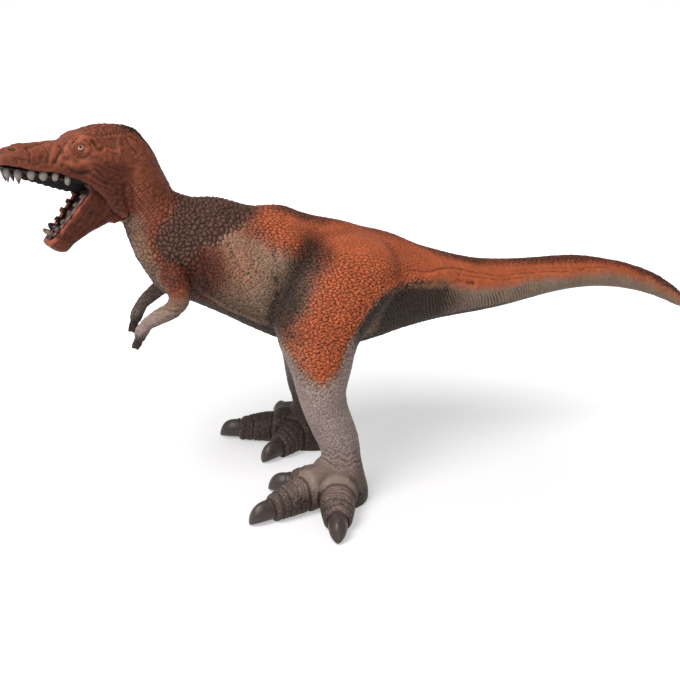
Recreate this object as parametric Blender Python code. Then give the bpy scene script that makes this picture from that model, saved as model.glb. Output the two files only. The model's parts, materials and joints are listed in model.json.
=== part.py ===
"""Toy dinosaur figure: a soft vinyl two-legged hunter with an open, hinged jaw.

Units are metres, +Z is up and the figure faces -X. Its left side is -Y. The origin lies on
the floor, under the middle of the figure's box. The skins are hollow castings that plug into
each other: neck and tail plug into the torso and are glued, legs are glued at the hip, arms
turn in the shoulders on a headed peg, and the lower jaw turns on a pin through the cheeks.
"""

import math

import bmesh
import bpy
import numpy as np
from mathutils import Matrix, Vector

# Clearances and walls
SEAM_GAP = 0.0003
RUNNING_GAP = 0.0004
SKIN_WALL = 0.0032
OVERRUN = 0.004
WELD = 0.000002

# Torso, from the neck seam to the tail seam
COLLAR_X = -0.1520
TORSO_LENGTH = 0.1595
TORSO_DEPTH = 0.0886
TORSO_WIDTH = 0.0820
BODY_HEIGHT = 0.1380
SPIGOT_LENGTH = 0.0070

# Each row: along the length, rise, depth, width, lean of the section in degrees, and flare,
# which widens the top of a section and narrows its bottom, or the other way below zero
TORSO_SHARES = (
    (0.000, 0.536, 0.544, 0.561, 34.0, 0.00),
    (0.053, 0.443, 0.639, 0.690, 34.0, 0.10),
    (0.119, 0.355, 0.772, 0.790, 31.0, 0.18),
    (0.213, 0.305, 0.790, 0.880, 27.0, 0.14),
    (0.345, 0.205, 0.840, 0.950, 18.0, 0.00),
    (0.508, 0.098, 0.985, 1.000, 8.0, -0.08),
    (0.665, 0.000, 1.000, 0.990, 1.0, -0.10),
    (0.834, -0.023, 0.925, 0.925, -2.5, -0.12),
    (1.000, -0.040, 0.752, 0.780, -2.5, -0.12),
)
TAIL_FLARE_SHARE = -0.12

# Tail
TAIL_LENGTH = 0.2360
TAIL_HOLLOW_SHARE = 0.62
TAIL_SHARES = (
    (0.000, 0.000, 1.000, 1.000, -2.5),
    (0.123, -0.048, 0.763, 0.785, -1.0),
    (0.252, -0.098, 0.592, 0.610, -2.0),
    (0.350, -0.099, 0.511, 0.530, -3.0),
    (0.481, -0.063, 0.414, 0.437, -4.0),
    (0.583, -0.042, 0.375, 0.390, -3.0),
    (0.684, -0.075, 0.321, 0.344, 3.0),
    (0.828, -0.201, 0.268, 0.281, 12.0),
    (0.943, -0.398, 0.190, 0.203, 26.0),
    (0.984, -0.505, 0.125, 0.135, 33.0),
    (1.000, -0.560, 0.040, 0.045, 35.0),
)

# Neck, from the collar to the pivot where the head begins
NECK_REACH = 0.0150
NECK_SIDESTEP = 0.0040
NECK_RISE = 0.0295
HEAD_TURN = 20.0

# Each row: progress, reach, rise, turn, depth, width, lean in degrees
NECK_SHARES = (
    (0.00, 0.00, 0.00, 0.00, 1.00, 1.00, 34.0),
    (0.33, 0.30, 0.39, 0.20, 0.99, 0.90, 31.0),
    (0.66, 0.57, 0.80, 0.55, 1.01, 0.83, 27.0),
    (1.00, 0.97, 1.13, 0.90, 1.04, 0.81, 23.0),
    (1.25, 1.30, 1.45, 1.00, 0.82, 0.74, 20.0),
)

# Skull and upper jaw, measured forward and up from the pivot
SKULL_LENGTH = 0.0815
SKULL_DEPTH = 0.0350
SKULL_WIDTH = 0.0350
LIP_WALL = 0.0018
PALATE_DEPTH = 0.0085
PALATE_SHARES = ((0.24, 1.30), (0.36, 1.15), (0.50, 0.95), (0.66, 0.72), (0.82, 0.55),
                 (0.92, 0.45), (0.962, 0.30))

# Each row: forward, top, bottom, width, corner power of the top and of the bottom half
SKULL_SHARES = (
    (-0.165, 0.600, -0.150, 0.500, 2.0, 2.0),
    (-0.130, 0.800, -0.420, 0.720, 2.0, 2.0),
    (-0.060, 0.925, -0.620, 0.890, 2.1, 2.1),
    (0.020, 0.980, -0.760, 0.965, 2.2, 2.4),
    (0.120, 1.000, -0.690, 1.000, 2.3, 3.4),
    (0.215, 1.005, -0.420, 1.000, 2.4, 5.0),
    (0.300, 0.985, -0.160, 0.975, 2.4, 6.0),
    (0.370, 0.945, 0.020, 0.915, 2.4, 7.0),
    (0.450, 0.885, 0.095, 0.800, 2.3, 7.0),
    (0.550, 0.830, 0.170, 0.690, 2.2, 7.0),
    (0.670, 0.805, 0.255, 0.615, 2.2, 7.0),
    (0.790, 0.800, 0.345, 0.560, 2.2, 7.0),
    (0.900, 0.765, 0.415, 0.500, 2.2, 6.0),
    (0.965, 0.710, 0.450, 0.410, 2.1, 4.0),
    (0.997, 0.640, 0.510, 0.230, 2.0, 2.5),
)

# Eyes
EYE_RADIUS = 0.0041
EYE_FORWARD_SHARE = 0.407
EYE_RISE_SHARE = 0.700
EYE_SINK = 0.0003
BROW_RADIUS = 0.0030
BROW_STRETCH_SHARE = 2.6
BROW_FORWARD_SHARE = 0.36
BROW_RISE_SHARE = 0.785
BROW_INSET_SHARE = 1.35

# Jaw hinge, measured from the pivot
HINGE_FORWARD_SHARE = 0.282
HINGE_RISE_SHARE = 0.014
GAPE = 48.5
JAW_PIN_RADIUS = 0.0015
PIN_GAP = 0.00015
PIN_BURY = 0.0031
CHEEK_WALL = 0.0057
SLOT_FRONT_ANGLE = 14.0
NECK_HOLLOW_ROWS = 3

# Lower jaw, along its rim from the hinge; it turns between the cheeks
JAW_LENGTH = 0.0465
JAW_DEPTH_SHARE = 0.803
JAW_WIDTH = SKULL_WIDTH - 2 * (CHEEK_WALL + RUNNING_GAP)
JAW_PIN_LENGTH = JAW_WIDTH + 2 * PIN_BURY
RIM_LIFT = 0.0032
FLOOR_DEPTH = 0.0048
RIM_WALL = 0.0018
KNUCKLE_SHARE = 0.766
KNUCKLE_STEP = 0.0010
KNUCKLE_SWEEP = 50.0
HUB_SHARE = 0.177
NOTCH_ANGLE = -118.0
KNUCKLE_LAP = 10.0
KNUCKLE_STOP = 3.0
JAW_RIM_POWER = 5.0
JAW_DEPTH = JAW_DEPTH_SHARE * SKULL_DEPTH
KNUCKLE_RADIUS = KNUCKLE_SHARE * SKULL_DEPTH
HUB_RADIUS = HUB_SHARE * SKULL_DEPTH
FLOOR_SHARES = ((0.10, 0.75), (0.30, 0.95), (0.60, 1.00), (0.85, 0.70), (0.93, 0.40))

# Each row: along the rim, depth below the rim, width, corner power of the underside
JAW_SHARES = (
    (0.06, 0.94, 1.00, 2.6),
    (0.20, 0.99, 1.00, 2.6),
    (0.41, 0.81, 0.93, 2.5),
    (0.62, 0.62, 0.85, 2.4),
    (0.80, 0.53, 0.76, 2.3),
    (0.93, 0.50, 0.66, 2.3),
    (0.985, 0.40, 0.48, 2.2),
    (1.00, 0.26, 0.26, 2.0),
)

# Teeth
TOOTH_LENGTH = 0.0060
TOOTH_RADIUS = 0.0021
GUM_HEIGHT = 0.0016
GUM_WIDTH = 0.0031
TOOTH_SHARES = ((0.00, 0.66), (0.19, 0.66), (0.38, 1.00), (0.74, 0.74), (1.00, 0.18))
ARCH_POWER = 1.5
ARCH_FRONT_SHARE = 0.35
ARCH_STEPS = 7
RIM_SINK = 0.0004
FLOOR_CURVE = 0.0008
UPPER_ROW_SHARES = (0.490, 0.935)
LOWER_ROW_SHARES = (0.190, 0.890)

# Each row: place from the front to the rear of the row, length, radius
UPPER_TOOTH_SHARES = (
    (0.14, 0.95, 0.95),
    (0.34, 1.10, 1.00),
    (0.54, 1.00, 1.00),
    (0.70, 0.95, 1.00),
    (0.84, 0.88, 0.95),
    (0.97, 0.80, 0.90),
)
LOWER_TOOTH_SHARES = (
    (0.14, 1.20, 1.00),
    (0.32, 1.10, 1.00),
    (0.50, 0.95, 1.00),
    (0.67, 0.90, 1.00),
    (0.82, 0.85, 0.95),
    (0.96, 0.78, 0.90),
)

# Legs: thigh, shin and foot
HIP_SHARE = 0.6708
THIGH_SHARE = 0.5016
THIGH_LENGTH = THIGH_SHARE * TORSO_LENGTH
THIGH_WIDTH = 0.0480
ANKLE_X = COLLAR_X + HIP_SHARE * TORSO_LENGTH
ANKLE_SPREAD = 0.0530
RIGHT_FOOT_INWARD = 0.0150
RIGHT_LEG_SETBACK = 0.0140
HIP_PLUG_RADIUS = 0.0140
HIP_PLUG_SHARE = 1.9
HIP_PLUG_SHIFT = 0.0070
HIP_PLUG_DROP = 0.0035

# Each row: height, shift along X, length, distance from the middle, width
LEG_SHARES = (
    (1.262, 0.120, 0.420, 0.310, 0.300),
    (1.212, 0.115, 0.780, 0.400, 0.580),
    (1.130, 0.110, 0.980, 0.505, 0.830),
    (1.014, 0.070, 1.010, 0.605, 0.980),
    (0.884, -0.045, 0.850, 0.690, 0.980),
    (0.783, -0.115, 0.650, 0.775, 0.920),
    (0.667, -0.112, 0.505, 0.860, 0.800),
    (0.558, -0.122, 0.402, 0.922, 0.710),
    (0.449, -0.076, 0.388, 0.960, 0.680),
    (0.341, -0.006, 0.372, 0.980, 0.660),
    (0.232, 0.034, 0.328, 1.000, 0.650),
    (0.130, 0.006, 0.455, 1.000, 0.770),
    (0.050, 0.020, 0.490, 1.000, 0.815),
    (-0.025, 0.025, 0.470, 1.000, 0.780),
)

# How much of the right leg's setback it has at each height, with the foot and hip in step
SETBACK_SHARES = ((0.00, 0.25), (0.12, 0.15), (0.22, 0.02), (0.31, 0.06), (0.37, 0.18),
                  (0.47, 0.44), (0.62, 0.62), (0.82, 0.62), (0.96, 0.28), (1.05, 0.00))

# How much further in than the left leg the right leg stands at each height
INWARD_SHARES = ((0.00, 1.00), (0.45, 1.00), (0.70, 0.55), (0.90, 0.20), (1.05, 0.00))

# Toes and claws of each foot: name, angle outwards from straight ahead, length of the toe
INNER_TOE_LENGTH = 0.0330
MIDDLE_TOE_LENGTH = 0.0515
OUTER_TOE_LENGTH = 0.0440
RIGHT_INNER_TOE_LENGTH = 0.0350
RIGHT_MIDDLE_TOE_LENGTH = 0.0550
LEFT_TOES = (
    ("inner", -28.5, INNER_TOE_LENGTH),
    ("middle", 18.0, MIDDLE_TOE_LENGTH),
    ("outer", 75.5, OUTER_TOE_LENGTH),
)
RIGHT_TOES = (
    ("inner", -32.5, RIGHT_INNER_TOE_LENGTH),
    ("middle", 22.5, RIGHT_MIDDLE_TOE_LENGTH),
    ("outer", 75.5, OUTER_TOE_LENGTH),
)
TOE_HEIGHT = 0.0290
TOE_WIDTH = 0.0250
SOLE_CUT = 0.0010
TOE_SHARES = (
    (0.00, 1.00, 0.92),
    (0.28, 1.00, 1.02),
    (0.44, 0.98, 1.08),
    (0.50, 0.90, 1.00),
    (0.53, 0.83, 0.93),
    (0.66, 0.80, 0.96),
    (0.82, 0.72, 0.90),
    (0.94, 0.65, 0.80),
    (1.00, 0.55, 0.68),
)
CLAW_LENGTH = 0.0160
CLAW_ROOT = 0.0040
CLAW_HEIGHT_SHARE = 0.455
CLAW_WIDTH_SHARE = 0.500
CLAW_RISE_SHARE = 0.255
CLAW_HEIGHT = CLAW_HEIGHT_SHARE * TOE_HEIGHT
CLAW_WIDTH = CLAW_WIDTH_SHARE * TOE_WIDTH
CLAW_SHARES = (
    (0.00, 1.00, 0.00),
    (0.25, 0.96, 0.00),
    (0.50, 0.86, 0.04),
    (0.75, 0.67, 0.10),
    (0.93, 0.40, 0.17),
    (1.00, 0.14, 0.20),
)

# Arms
SHOULDER_FORWARD_SHARE = 0.050
SHOULDER_RISE_SHARE = 0.214
SHOULDER_SEAT_SHARE = 0.299
SHOULDER_SEAT = SHOULDER_SEAT_SHARE * TORSO_WIDTH
SHOULDER_RADIUS = 0.0090
SHOULDER_BOSS = 0.0050
ARM_PEG_RADIUS = 0.0040
ARM_HEAD_LIP = 0.0018
ARM_HEAD_RADIUS = ARM_PEG_RADIUS + ARM_HEAD_LIP
ARM_HEAD_THICKNESS = 0.0016
ARM_REACH = 0.0250
ARM_DROP = 0.0450
ARM_THICKNESS = 0.0150
ARM_INWARD = 0.0120

# Each row: progress, reach, drop, offset inwards, thickness, width
ARM_SHARES = (
    (0.00, 0.00, -0.14, -0.45, 0.62, 0.52),
    (0.12, -0.02, 0.00, -0.60, 1.12, 0.80),
    (0.28, -0.08, 0.18, -0.62, 1.05, 0.84),
    (0.42, -0.10, 0.34, -0.60, 0.96, 0.82),
    (0.54, 0.10, 0.48, -0.36, 0.86, 0.78),
    (0.68, 0.42, 0.58, -0.10, 0.72, 0.70),
    (0.82, 0.70, 0.69, 0.20, 0.58, 0.62),
    (0.93, 0.86, 0.82, 0.42, 0.60, 0.70),
    (1.00, 0.94, 0.93, 0.52, 0.50, 0.64),
)
FINGER_LENGTH = 0.0095
FINGER_RADIUS = 0.0027
FINGER_FAN = 24.0
FINGER_SHARES = ((-0.25, 1.00), (0.30, 1.00), (0.65, 0.74), (0.90, 0.40), (1.00, 0.14))
SHOULDER_CAP = 0.0060

BODY_SIDES = 28
INNER_SIDES = 16
HEAD_SIDES = 26
LIMB_SIDES = 18
TOE_SIDES = 12
CLAW_SIDES = 8
TOOTH_SIDES = 6
ROUND_SIDES = 20
SMOOTH_ANGLE = math.radians(50.0)

MATERIALS = {
    "orange_vinyl": ((0.42, 0.105, 0.04), 0.55),
    "brown_vinyl": ((0.19, 0.065, 0.035), 0.55),
    "grey_vinyl": ((0.20, 0.155, 0.14), 0.60),
    "tan_vinyl": ((0.32, 0.20, 0.15), 0.60),
    "claw_vinyl": ((0.045, 0.032, 0.028), 0.35),
    "tooth_vinyl": ((0.45, 0.42, 0.38), 0.40),
    "eye_plastic": ((0.62, 0.42, 0.38), 0.20),
    "pin_steel": ((0.50, 0.50, 0.50), 0.30),
}


class Station:
    """One cross-section: its centre, its own up and side directions, and its half sizes."""

    def __init__(self, centre, up, side, half_width, half_depth, powers=(2.0, 2.0), flare=0.0):
        self.centre = Vector(centre)
        self.up = Vector(up).normalized()
        self.side = Vector(side).normalized()
        self.half_width = half_width
        self.half_depth = half_depth
        self.powers = powers
        self.flare = flare

    def normal(self):
        return self.up.cross(self.side).normalized()

    def moved(self, distance, grow=0.0):
        centre = self.centre + self.normal() * distance
        return Station(centre, self.up, self.side, self.half_width + grow,
                       self.half_depth + grow, self.powers, self.flare)

    def ring(self, sides, grow=0.0):
        points = []
        for step in range(sides):
            angle = math.tau * step / sides
            across = math.cos(angle)
            along = math.sin(angle)
            power = self.powers[0] if along >= 0.0 else self.powers[1]
            u = math.copysign(abs(across) ** (2.0 / power), across)
            v = math.copysign(abs(along) ** (2.0 / power), along)
            width = (self.half_width + grow) * (1.0 + self.flare * v)
            depth = self.half_depth + grow
            points.append(self.centre + self.side * (width * u) + self.up * (depth * v))
        return points


def smooth_rows(rows, parts):
    """Rows of a table, with smooth rows put between them; the first column always rises."""
    table = np.array(rows, dtype=float)
    places = table[:, 0]
    slopes = np.gradient(table, places, axis=0)
    result = []
    for index in range(len(places) - 1):
        span = places[index + 1] - places[index]
        for part in range(parts):
            t = part / parts
            start = (1.0 + 2.0 * t) * (1.0 - t) ** 2
            leave = t * (1.0 - t) ** 2
            end = t * t * (3.0 - 2.0 * t)
            arrive = t * t * (t - 1.0)
            result.append(start * table[index] + end * table[index + 1]
                          + span * (leave * slopes[index] + arrive * slopes[index + 1]))
    result.append(table[-1])
    return [tuple(row) for row in result]


def new_object(name, mesh):
    body = bpy.data.objects.new(name, mesh)
    bpy.context.scene.collection.objects.link(body)
    return body


def mesh_object(name, working):
    bmesh.ops.recalc_face_normals(working, faces=working.faces[:])
    mesh = bpy.data.meshes.new(name)
    working.to_mesh(mesh)
    working.free()
    return new_object(name, mesh)


def loft(name, rings):
    """A closed solid through rings of equal counts, with flat ends."""
    working = bmesh.new()
    loops = [[working.verts.new(point) for point in ring] for ring in rings]
    for first, second in zip(loops, loops[1:]):
        count = len(first)
        for step in range(count):
            after = (step + 1) % count
            working.faces.new((first[step], first[after], second[after], second[step]))
    working.faces.new(loops[0])
    working.faces.new(loops[-1])
    return mesh_object(name, working)


def extrude_outline(name, outline, thickness):
    """A plate: an outline of points in its own plane, thickened both ways along thickness."""
    half = thickness * 0.5
    return loft(name, [[point - half for point in outline], [point + half for point in outline]])


def turned(name, centre, axis, profile):
    """A turned solid; the profile is pairs of distance along the axis and radius."""
    side = axis.orthogonal().normalized()
    up = axis.cross(side)
    rings = []
    for distance, radius in profile:
        rings.append(Station(centre + axis * distance, up, side, radius, radius).ring(ROUND_SIDES))
    return loft(name, rings)


def cylinder(name, start, end, radius):
    span = end - start
    return turned(name, start, span.normalized(), ((0.0, radius), (span.length, radius)))


def ball(name, centre, radius, sides=10):
    working = bmesh.new()
    bmesh.ops.create_uvsphere(working, u_segments=sides, v_segments=sides // 2 + 2,
                              radius=radius, matrix=Matrix.Translation(centre))
    return mesh_object(name, working)


def combine(target, tool, operation):
    """Applies a Boolean of the tool to the target and deletes the tool."""
    modifier = target.modifiers.new(operation.lower(), "BOOLEAN")
    modifier.operation = operation
    modifier.solver = "EXACT"
    modifier.object = tool
    evaluated = target.evaluated_get(bpy.context.evaluated_depsgraph_get())
    working = bmesh.new()
    working.from_mesh(evaluated.to_mesh())
    bmesh.ops.remove_doubles(working, verts=working.verts[:], dist=WELD)
    bmesh.ops.dissolve_degenerate(working, edges=working.edges[:], dist=WELD)
    target.modifiers.clear()
    working.to_mesh(target.data)
    working.free()
    bpy.data.objects.remove(tool, do_unlink=True)
    return target


def join(target, tool):
    return combine(target, tool, "UNION")


def cut(target, tool):
    return combine(target, tool, "DIFFERENCE")


def finish(body, material, pivot=None):
    """Names the mesh, shades it, gives it its finish and puts its origin on its axis."""
    if pivot is not None:
        body.data.transform(Matrix.Translation(-Vector(pivot)))
        body.location = pivot
    body.data.name = body.name
    body.data.shade_smooth()
    body.data.set_sharp_from_angle(angle=SMOOTH_ANGLE)
    body.data.materials.clear()
    body.data.materials.append(finish_material(body.name, material))


def finish_material(name, kind):
    colour, roughness = MATERIALS[kind]
    material = bpy.data.materials.new(name + "_" + kind)
    material.use_nodes = True
    shader = material.node_tree.nodes["Principled BSDF"]
    shader.inputs["Base Color"].default_value = (*colour, 1.0)
    shader.inputs["Roughness"].default_value = roughness
    shader.inputs["Metallic"].default_value = 1.0 if kind == "pin_steel" else 0.0
    return material


def leaning(angle, turn=0.0):
    """Up and side directions of a section that leans back, turned about the vertical."""
    lean = math.radians(angle)
    spin = Matrix.Rotation(math.radians(turn), 3, "Z")
    return spin @ Vector((math.sin(lean), 0.0, math.cos(lean))), spin @ Vector((0.0, 1.0, 0.0))


# Torso

def torso_stations():
    stations = []
    for along, rise, depth, width, lean, flare in smooth_rows(TORSO_SHARES, 2):
        centre = (COLLAR_X + along * TORSO_LENGTH, 0.0, BODY_HEIGHT + rise * TORSO_DEPTH)
        up, side = leaning(lean)
        stations.append(Station(centre, up, side, width * TORSO_WIDTH / 2,
                                depth * TORSO_DEPTH / 2, flare=flare))
    return stations


def torso_block(name, grow=0.0):
    return loft(name, [station.ring(BODY_SIDES, grow) for station in torso_stations()])


def torso_hollow(name):
    stations = torso_stations()
    ends = [stations[0].moved(OVERRUN)] + stations[::2] + [stations[-1].moved(-OVERRUN)]
    return loft(name, [station.ring(INNER_SIDES, -SKIN_WALL) for station in ends])


def shoulder_point(side):
    """The middle of the arm's seat; side is -1 for the left arm and 1 for the right."""
    return Vector((COLLAR_X + SHOULDER_FORWARD_SHARE * TORSO_LENGTH,
                   side * SHOULDER_SEAT,
                   BODY_HEIGHT + SHOULDER_RISE_SHARE * TORSO_DEPTH))


def hip_point(side):
    return Vector((ANKLE_X + HIP_PLUG_SHIFT, side * TORSO_WIDTH / 2,
                   BODY_HEIGHT - HIP_PLUG_DROP))


def make_torso():
    torso = torso_block("torso_shell")
    cut(torso, torso_hollow("torso_hollow"))
    for side in (-1, 1):
        seat = shoulder_point(side)
        out = Vector((0.0, side, 0.0))
        join(torso, cylinder("boss", seat + out * SEAM_GAP, seat - out * SHOULDER_BOSS,
                             SHOULDER_RADIUS))
    pocket = SHOULDER_RADIUS + RUNNING_GAP * 2
    bore = ARM_PEG_RADIUS + RUNNING_GAP
    relief = ARM_HEAD_RADIUS + RUNNING_GAP
    back = -SHOULDER_BOSS - SEAM_GAP
    for side in (-1, 1):
        cut(torso, turned("shoulder", shoulder_point(side), Vector((0.0, side, 0.0)), (
            (SHOULDER_SEAT, pocket), (0.0, pocket), (0.0, bore), (back, bore), (back, relief),
            (back - ARM_HEAD_THICKNESS - OVERRUN, relief))))
    past = Vector((0.0, OVERRUN, 0.0))
    cut(torso, cylinder("sockets", hip_point(-1) - past, hip_point(1) + past,
                        HIP_PLUG_RADIUS + SEAM_GAP))
    finish(torso, "orange_vinyl")


# Tail

def tail_stations():
    root = torso_stations()[-1]
    stations = []
    for along, rise, depth, width, lean in smooth_rows(TAIL_SHARES, 2):
        centre = root.centre + Vector((along * TAIL_LENGTH, 0.0, rise * root.half_depth * 2))
        up, side = leaning(lean)
        stations.append(Station(centre, up, side, width * root.half_width,
                                depth * root.half_depth, flare=TAIL_FLARE_SHARE))
    return stations


def spigot(name, station, direction):
    """A short tube that plugs into the hollow behind a seam."""
    near = station.moved(-direction * OVERRUN)
    far = station.moved(direction * SPIGOT_LENGTH)
    fit = -(SKIN_WALL + SEAM_GAP)
    return loft(name, [near.ring(INNER_SIDES, fit), far.ring(INNER_SIDES, fit - SEAM_GAP * 2)])


def make_tail():
    stations = tail_stations()
    stations[0] = stations[0].moved(-SEAM_GAP)
    tail = loft("tail_shell", [station.ring(BODY_SIDES) for station in stations])
    root = torso_stations()[-1]
    join(tail, spigot("tail_spigot", root, 1.0))
    hollow = [root.moved(SPIGOT_LENGTH + OVERRUN)]
    hollow += [station for station in tail_stations()[::2]
               if station.centre.x < root.centre.x + TAIL_HOLLOW_SHARE * TAIL_LENGTH]
    cut(tail, loft("tail_hollow", [station.ring(INNER_SIDES, -SKIN_WALL * 2)
                                   for station in hollow]))
    finish(tail, "orange_vinyl")


# Head and neck

def pivot_point():
    collar = torso_stations()[0].centre
    return collar + Vector((-NECK_REACH, -NECK_SIDESTEP, NECK_RISE))


def head_point(forward, aside, rise):
    """A point in the turned head's own directions; aside is positive to the figure's right."""
    spin = Matrix.Rotation(math.radians(HEAD_TURN), 3, "Z")
    return pivot_point() + spin @ Vector((-forward, aside, rise))


def head_direction(forward, aside, rise):
    return head_point(forward, aside, rise) - pivot_point()


def neck_stations():
    collar = torso_stations()[0]
    stations = []
    for _, reach, rise, turn, depth, width, lean in smooth_rows(NECK_SHARES, 2):
        centre = collar.centre + Vector((-reach * NECK_REACH, -turn * NECK_SIDESTEP,
                                         rise * NECK_RISE))
        up, side = leaning(lean, turn * HEAD_TURN)
        stations.append(Station(centre, up, side, width * collar.half_width,
                                depth * collar.half_depth))
    return stations


def skull_rows():
    return smooth_rows(SKULL_SHARES, 1)


def skull_half_width(forward_share):
    rows = np.array(skull_rows())
    return float(np.interp(forward_share, rows[:, 0], rows[:, 3])) * SKULL_WIDTH / 2


def lip_rise(forward_share):
    rows = np.array(skull_rows())
    return float(np.interp(forward_share, rows[:, 0], rows[:, 2])) * SKULL_DEPTH


def skull_stations():
    up = head_direction(0.0, 0.0, SKULL_DEPTH)
    side = head_direction(0.0, SKULL_WIDTH, 0.0)
    stations = []
    for forward, top, bottom, width, top_power, bottom_power in skull_rows():
        centre = head_point(forward * SKULL_LENGTH, 0.0, (top + bottom) / 2 * SKULL_DEPTH)
        stations.append(Station(centre, up, side, width * SKULL_WIDTH / 2,
                                (top - bottom) / 2 * SKULL_DEPTH,
                                powers=(top_power, bottom_power)))
    return stations


def hinge_point():
    return head_point(HINGE_FORWARD_SHARE * SKULL_LENGTH, 0.0, HINGE_RISE_SHARE * SKULL_DEPTH)


def polar(radius, angle):
    """A point in the head's middle plane, round the jaw hinge; 0 degrees is forward."""
    turn = math.radians(angle)
    return hinge_point() + head_direction(radius * math.cos(turn), 0.0, radius * math.sin(turn))


def knuckle_outline(radius, hub, first, last, front):
    """The hidden rear of the jaw: a sector behind the notch, round a hub."""
    steps = 12
    points = [polar(radius, first + (last - first) * step / steps) for step in range(steps + 1)]
    points += [polar(hub, last - (last + 360.0 - front) * step / steps)
               for step in range(steps + 1)]
    return points


def make_palate(name):
    """The roof of the mouth as a cutter: a vault between the lips."""
    up = head_direction(0.0, 0.0, SKULL_DEPTH)
    side = head_direction(0.0, SKULL_WIDTH, 0.0)
    rings = []
    for forward, depth in PALATE_SHARES:
        half_width = skull_half_width(forward) - LIP_WALL
        half_depth = depth * PALATE_DEPTH
        centre = head_point(forward * SKULL_LENGTH, 0.0, lip_rise(forward))
        rings.append(Station(centre, up, side, half_width, half_depth,
                             powers=(3.0, 3.0)).ring(INNER_SIDES))
    return loft(name, rings)


def knuckle(name, radius, hub, first, front, width, stop=0.0):
    """The jaw's hidden rear plate; its sector ends behind the notch, short by the stop angle."""
    last = NOTCH_ANGLE - KNUCKLE_SWEEP + stop
    outline = knuckle_outline(radius, hub, first, last, front)
    return extrude_outline(name, outline, head_direction(0.0, width, 0.0))


def make_head():
    neck = neck_stations()
    neck[0] = neck[0].moved(SEAM_GAP)
    head = loft("head_shell", [station.ring(HEAD_SIDES) for station in neck])
    join(head, loft("skull", [station.ring(HEAD_SIDES) for station in skull_stations()]))
    for side in (-1, 1):
        brow = ball("brow", Vector(), BROW_RADIUS)
        stretch = Matrix.Diagonal((BROW_STRETCH_SHARE, 1.0, 1.0)).to_4x4()
        spin = Matrix.Rotation(math.radians(HEAD_TURN), 4, "Z")
        brow.data.transform(Matrix.Translation(brow_point(side)) @ spin @ stretch)
        join(head, brow)
    cut(head, make_palate("palate"))
    slot_width = JAW_WIDTH + 2 * RUNNING_GAP
    cut(head, knuckle("slot", KNUCKLE_RADIUS + RUNNING_GAP, HUB_RADIUS + RUNNING_GAP,
                      SLOT_FRONT_ANGLE, SLOT_FRONT_ANGLE, slot_width))
    for side in (-1, 1):
        cut(head, ball("eye_socket", eye_point(side), EYE_RADIUS + SEAM_GAP))
    cut(head, jaw_pin_rod("pin_bore", JAW_PIN_LENGTH + 2 * SEAM_GAP, JAW_PIN_RADIUS + PIN_GAP))
    collar = torso_stations()[0]
    join(head, spigot("neck_spigot", collar, -1.0))
    inner = [collar.moved(-SPIGOT_LENGTH - OVERRUN), collar] + neck_stations()[1:NECK_HOLLOW_ROWS]
    cut(head, loft("neck_hollow", [station.ring(INNER_SIDES, -2 * SKIN_WALL)
                                   for station in inner]))
    finish(head, "brown_vinyl")


def brow_point(side):
    forward = BROW_FORWARD_SHARE * SKULL_LENGTH
    aside = skull_half_width(BROW_FORWARD_SHARE) - BROW_INSET_SHARE * BROW_RADIUS
    return head_point(forward, side * aside, BROW_RISE_SHARE * SKULL_DEPTH)


def eye_point(side):
    forward = EYE_FORWARD_SHARE * SKULL_LENGTH
    aside = skull_half_width(EYE_FORWARD_SHARE) - EYE_RADIUS - EYE_SINK
    return head_point(forward, side * aside, EYE_RISE_SHARE * SKULL_DEPTH)


def make_eyes():
    for side, name in ((-1, "eye_left"), (1, "eye_right")):
        finish(ball(name, eye_point(side), EYE_RADIUS), "eye_plastic", eye_point(side))


# Lower jaw

def jaw_pin_rod(name, length, radius):
    half = head_direction(0.0, length / 2, 0.0)
    return cylinder(name, hinge_point() - half, hinge_point() + half, radius)


def rim_direction():
    drop = math.radians(GAPE)
    return head_direction(math.cos(drop), 0.0, -math.sin(drop))


def rim_normal():
    drop = math.radians(GAPE)
    return head_direction(math.sin(drop), 0.0, math.cos(drop))


def rim_point(along_share, below=0.0):
    return (hinge_point() + rim_direction() * (along_share * JAW_LENGTH)
            + rim_normal() * (RIM_LIFT - below))


def jaw_half_width(along_share):
    rows = np.array(smooth_rows(JAW_SHARES, 1))
    return float(np.interp(along_share, rows[:, 0], rows[:, 2])) * JAW_WIDTH / 2


def jaw_stations():
    side = head_direction(0.0, JAW_WIDTH, 0.0)
    stations = []
    for along, depth, width, power in smooth_rows(JAW_SHARES, 1):
        half_depth = depth * JAW_DEPTH / 2
        stations.append(Station(rim_point(along, half_depth), rim_normal(), side,
                                width * JAW_WIDTH / 2, half_depth, powers=(JAW_RIM_POWER, power)))
    return stations


def make_jaw():
    jaw = loft("lower_jaw", [station.ring(HEAD_SIDES) for station in jaw_stations()])
    join(jaw, knuckle("knuckle", KNUCKLE_RADIUS, HUB_RADIUS, NOTCH_ANGLE + KNUCKLE_LAP,
                      -GAPE - KNUCKLE_LAP, JAW_WIDTH - 2 * KNUCKLE_STEP, KNUCKLE_STOP))
    side = head_direction(0.0, JAW_WIDTH, 0.0)
    rings = []
    for along, depth in FLOOR_SHARES:
        rings.append(Station(rim_point(along), rim_normal(), side,
                             jaw_half_width(along) - RIM_WALL, depth * FLOOR_DEPTH,
                             powers=(2.6, 2.6)).ring(INNER_SIDES))
    cut(jaw, loft("mouth_floor", rings))
    cut(jaw, jaw_pin_rod("jaw_bore", JAW_WIDTH * 2, JAW_PIN_RADIUS + PIN_GAP))
    finish(jaw, "brown_vinyl", hinge_point())
    finish(jaw_pin_rod("jaw_hinge_pin", JAW_PIN_LENGTH, JAW_PIN_RADIUS), "pin_steel",
           hinge_point())


# Teeth

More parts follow.
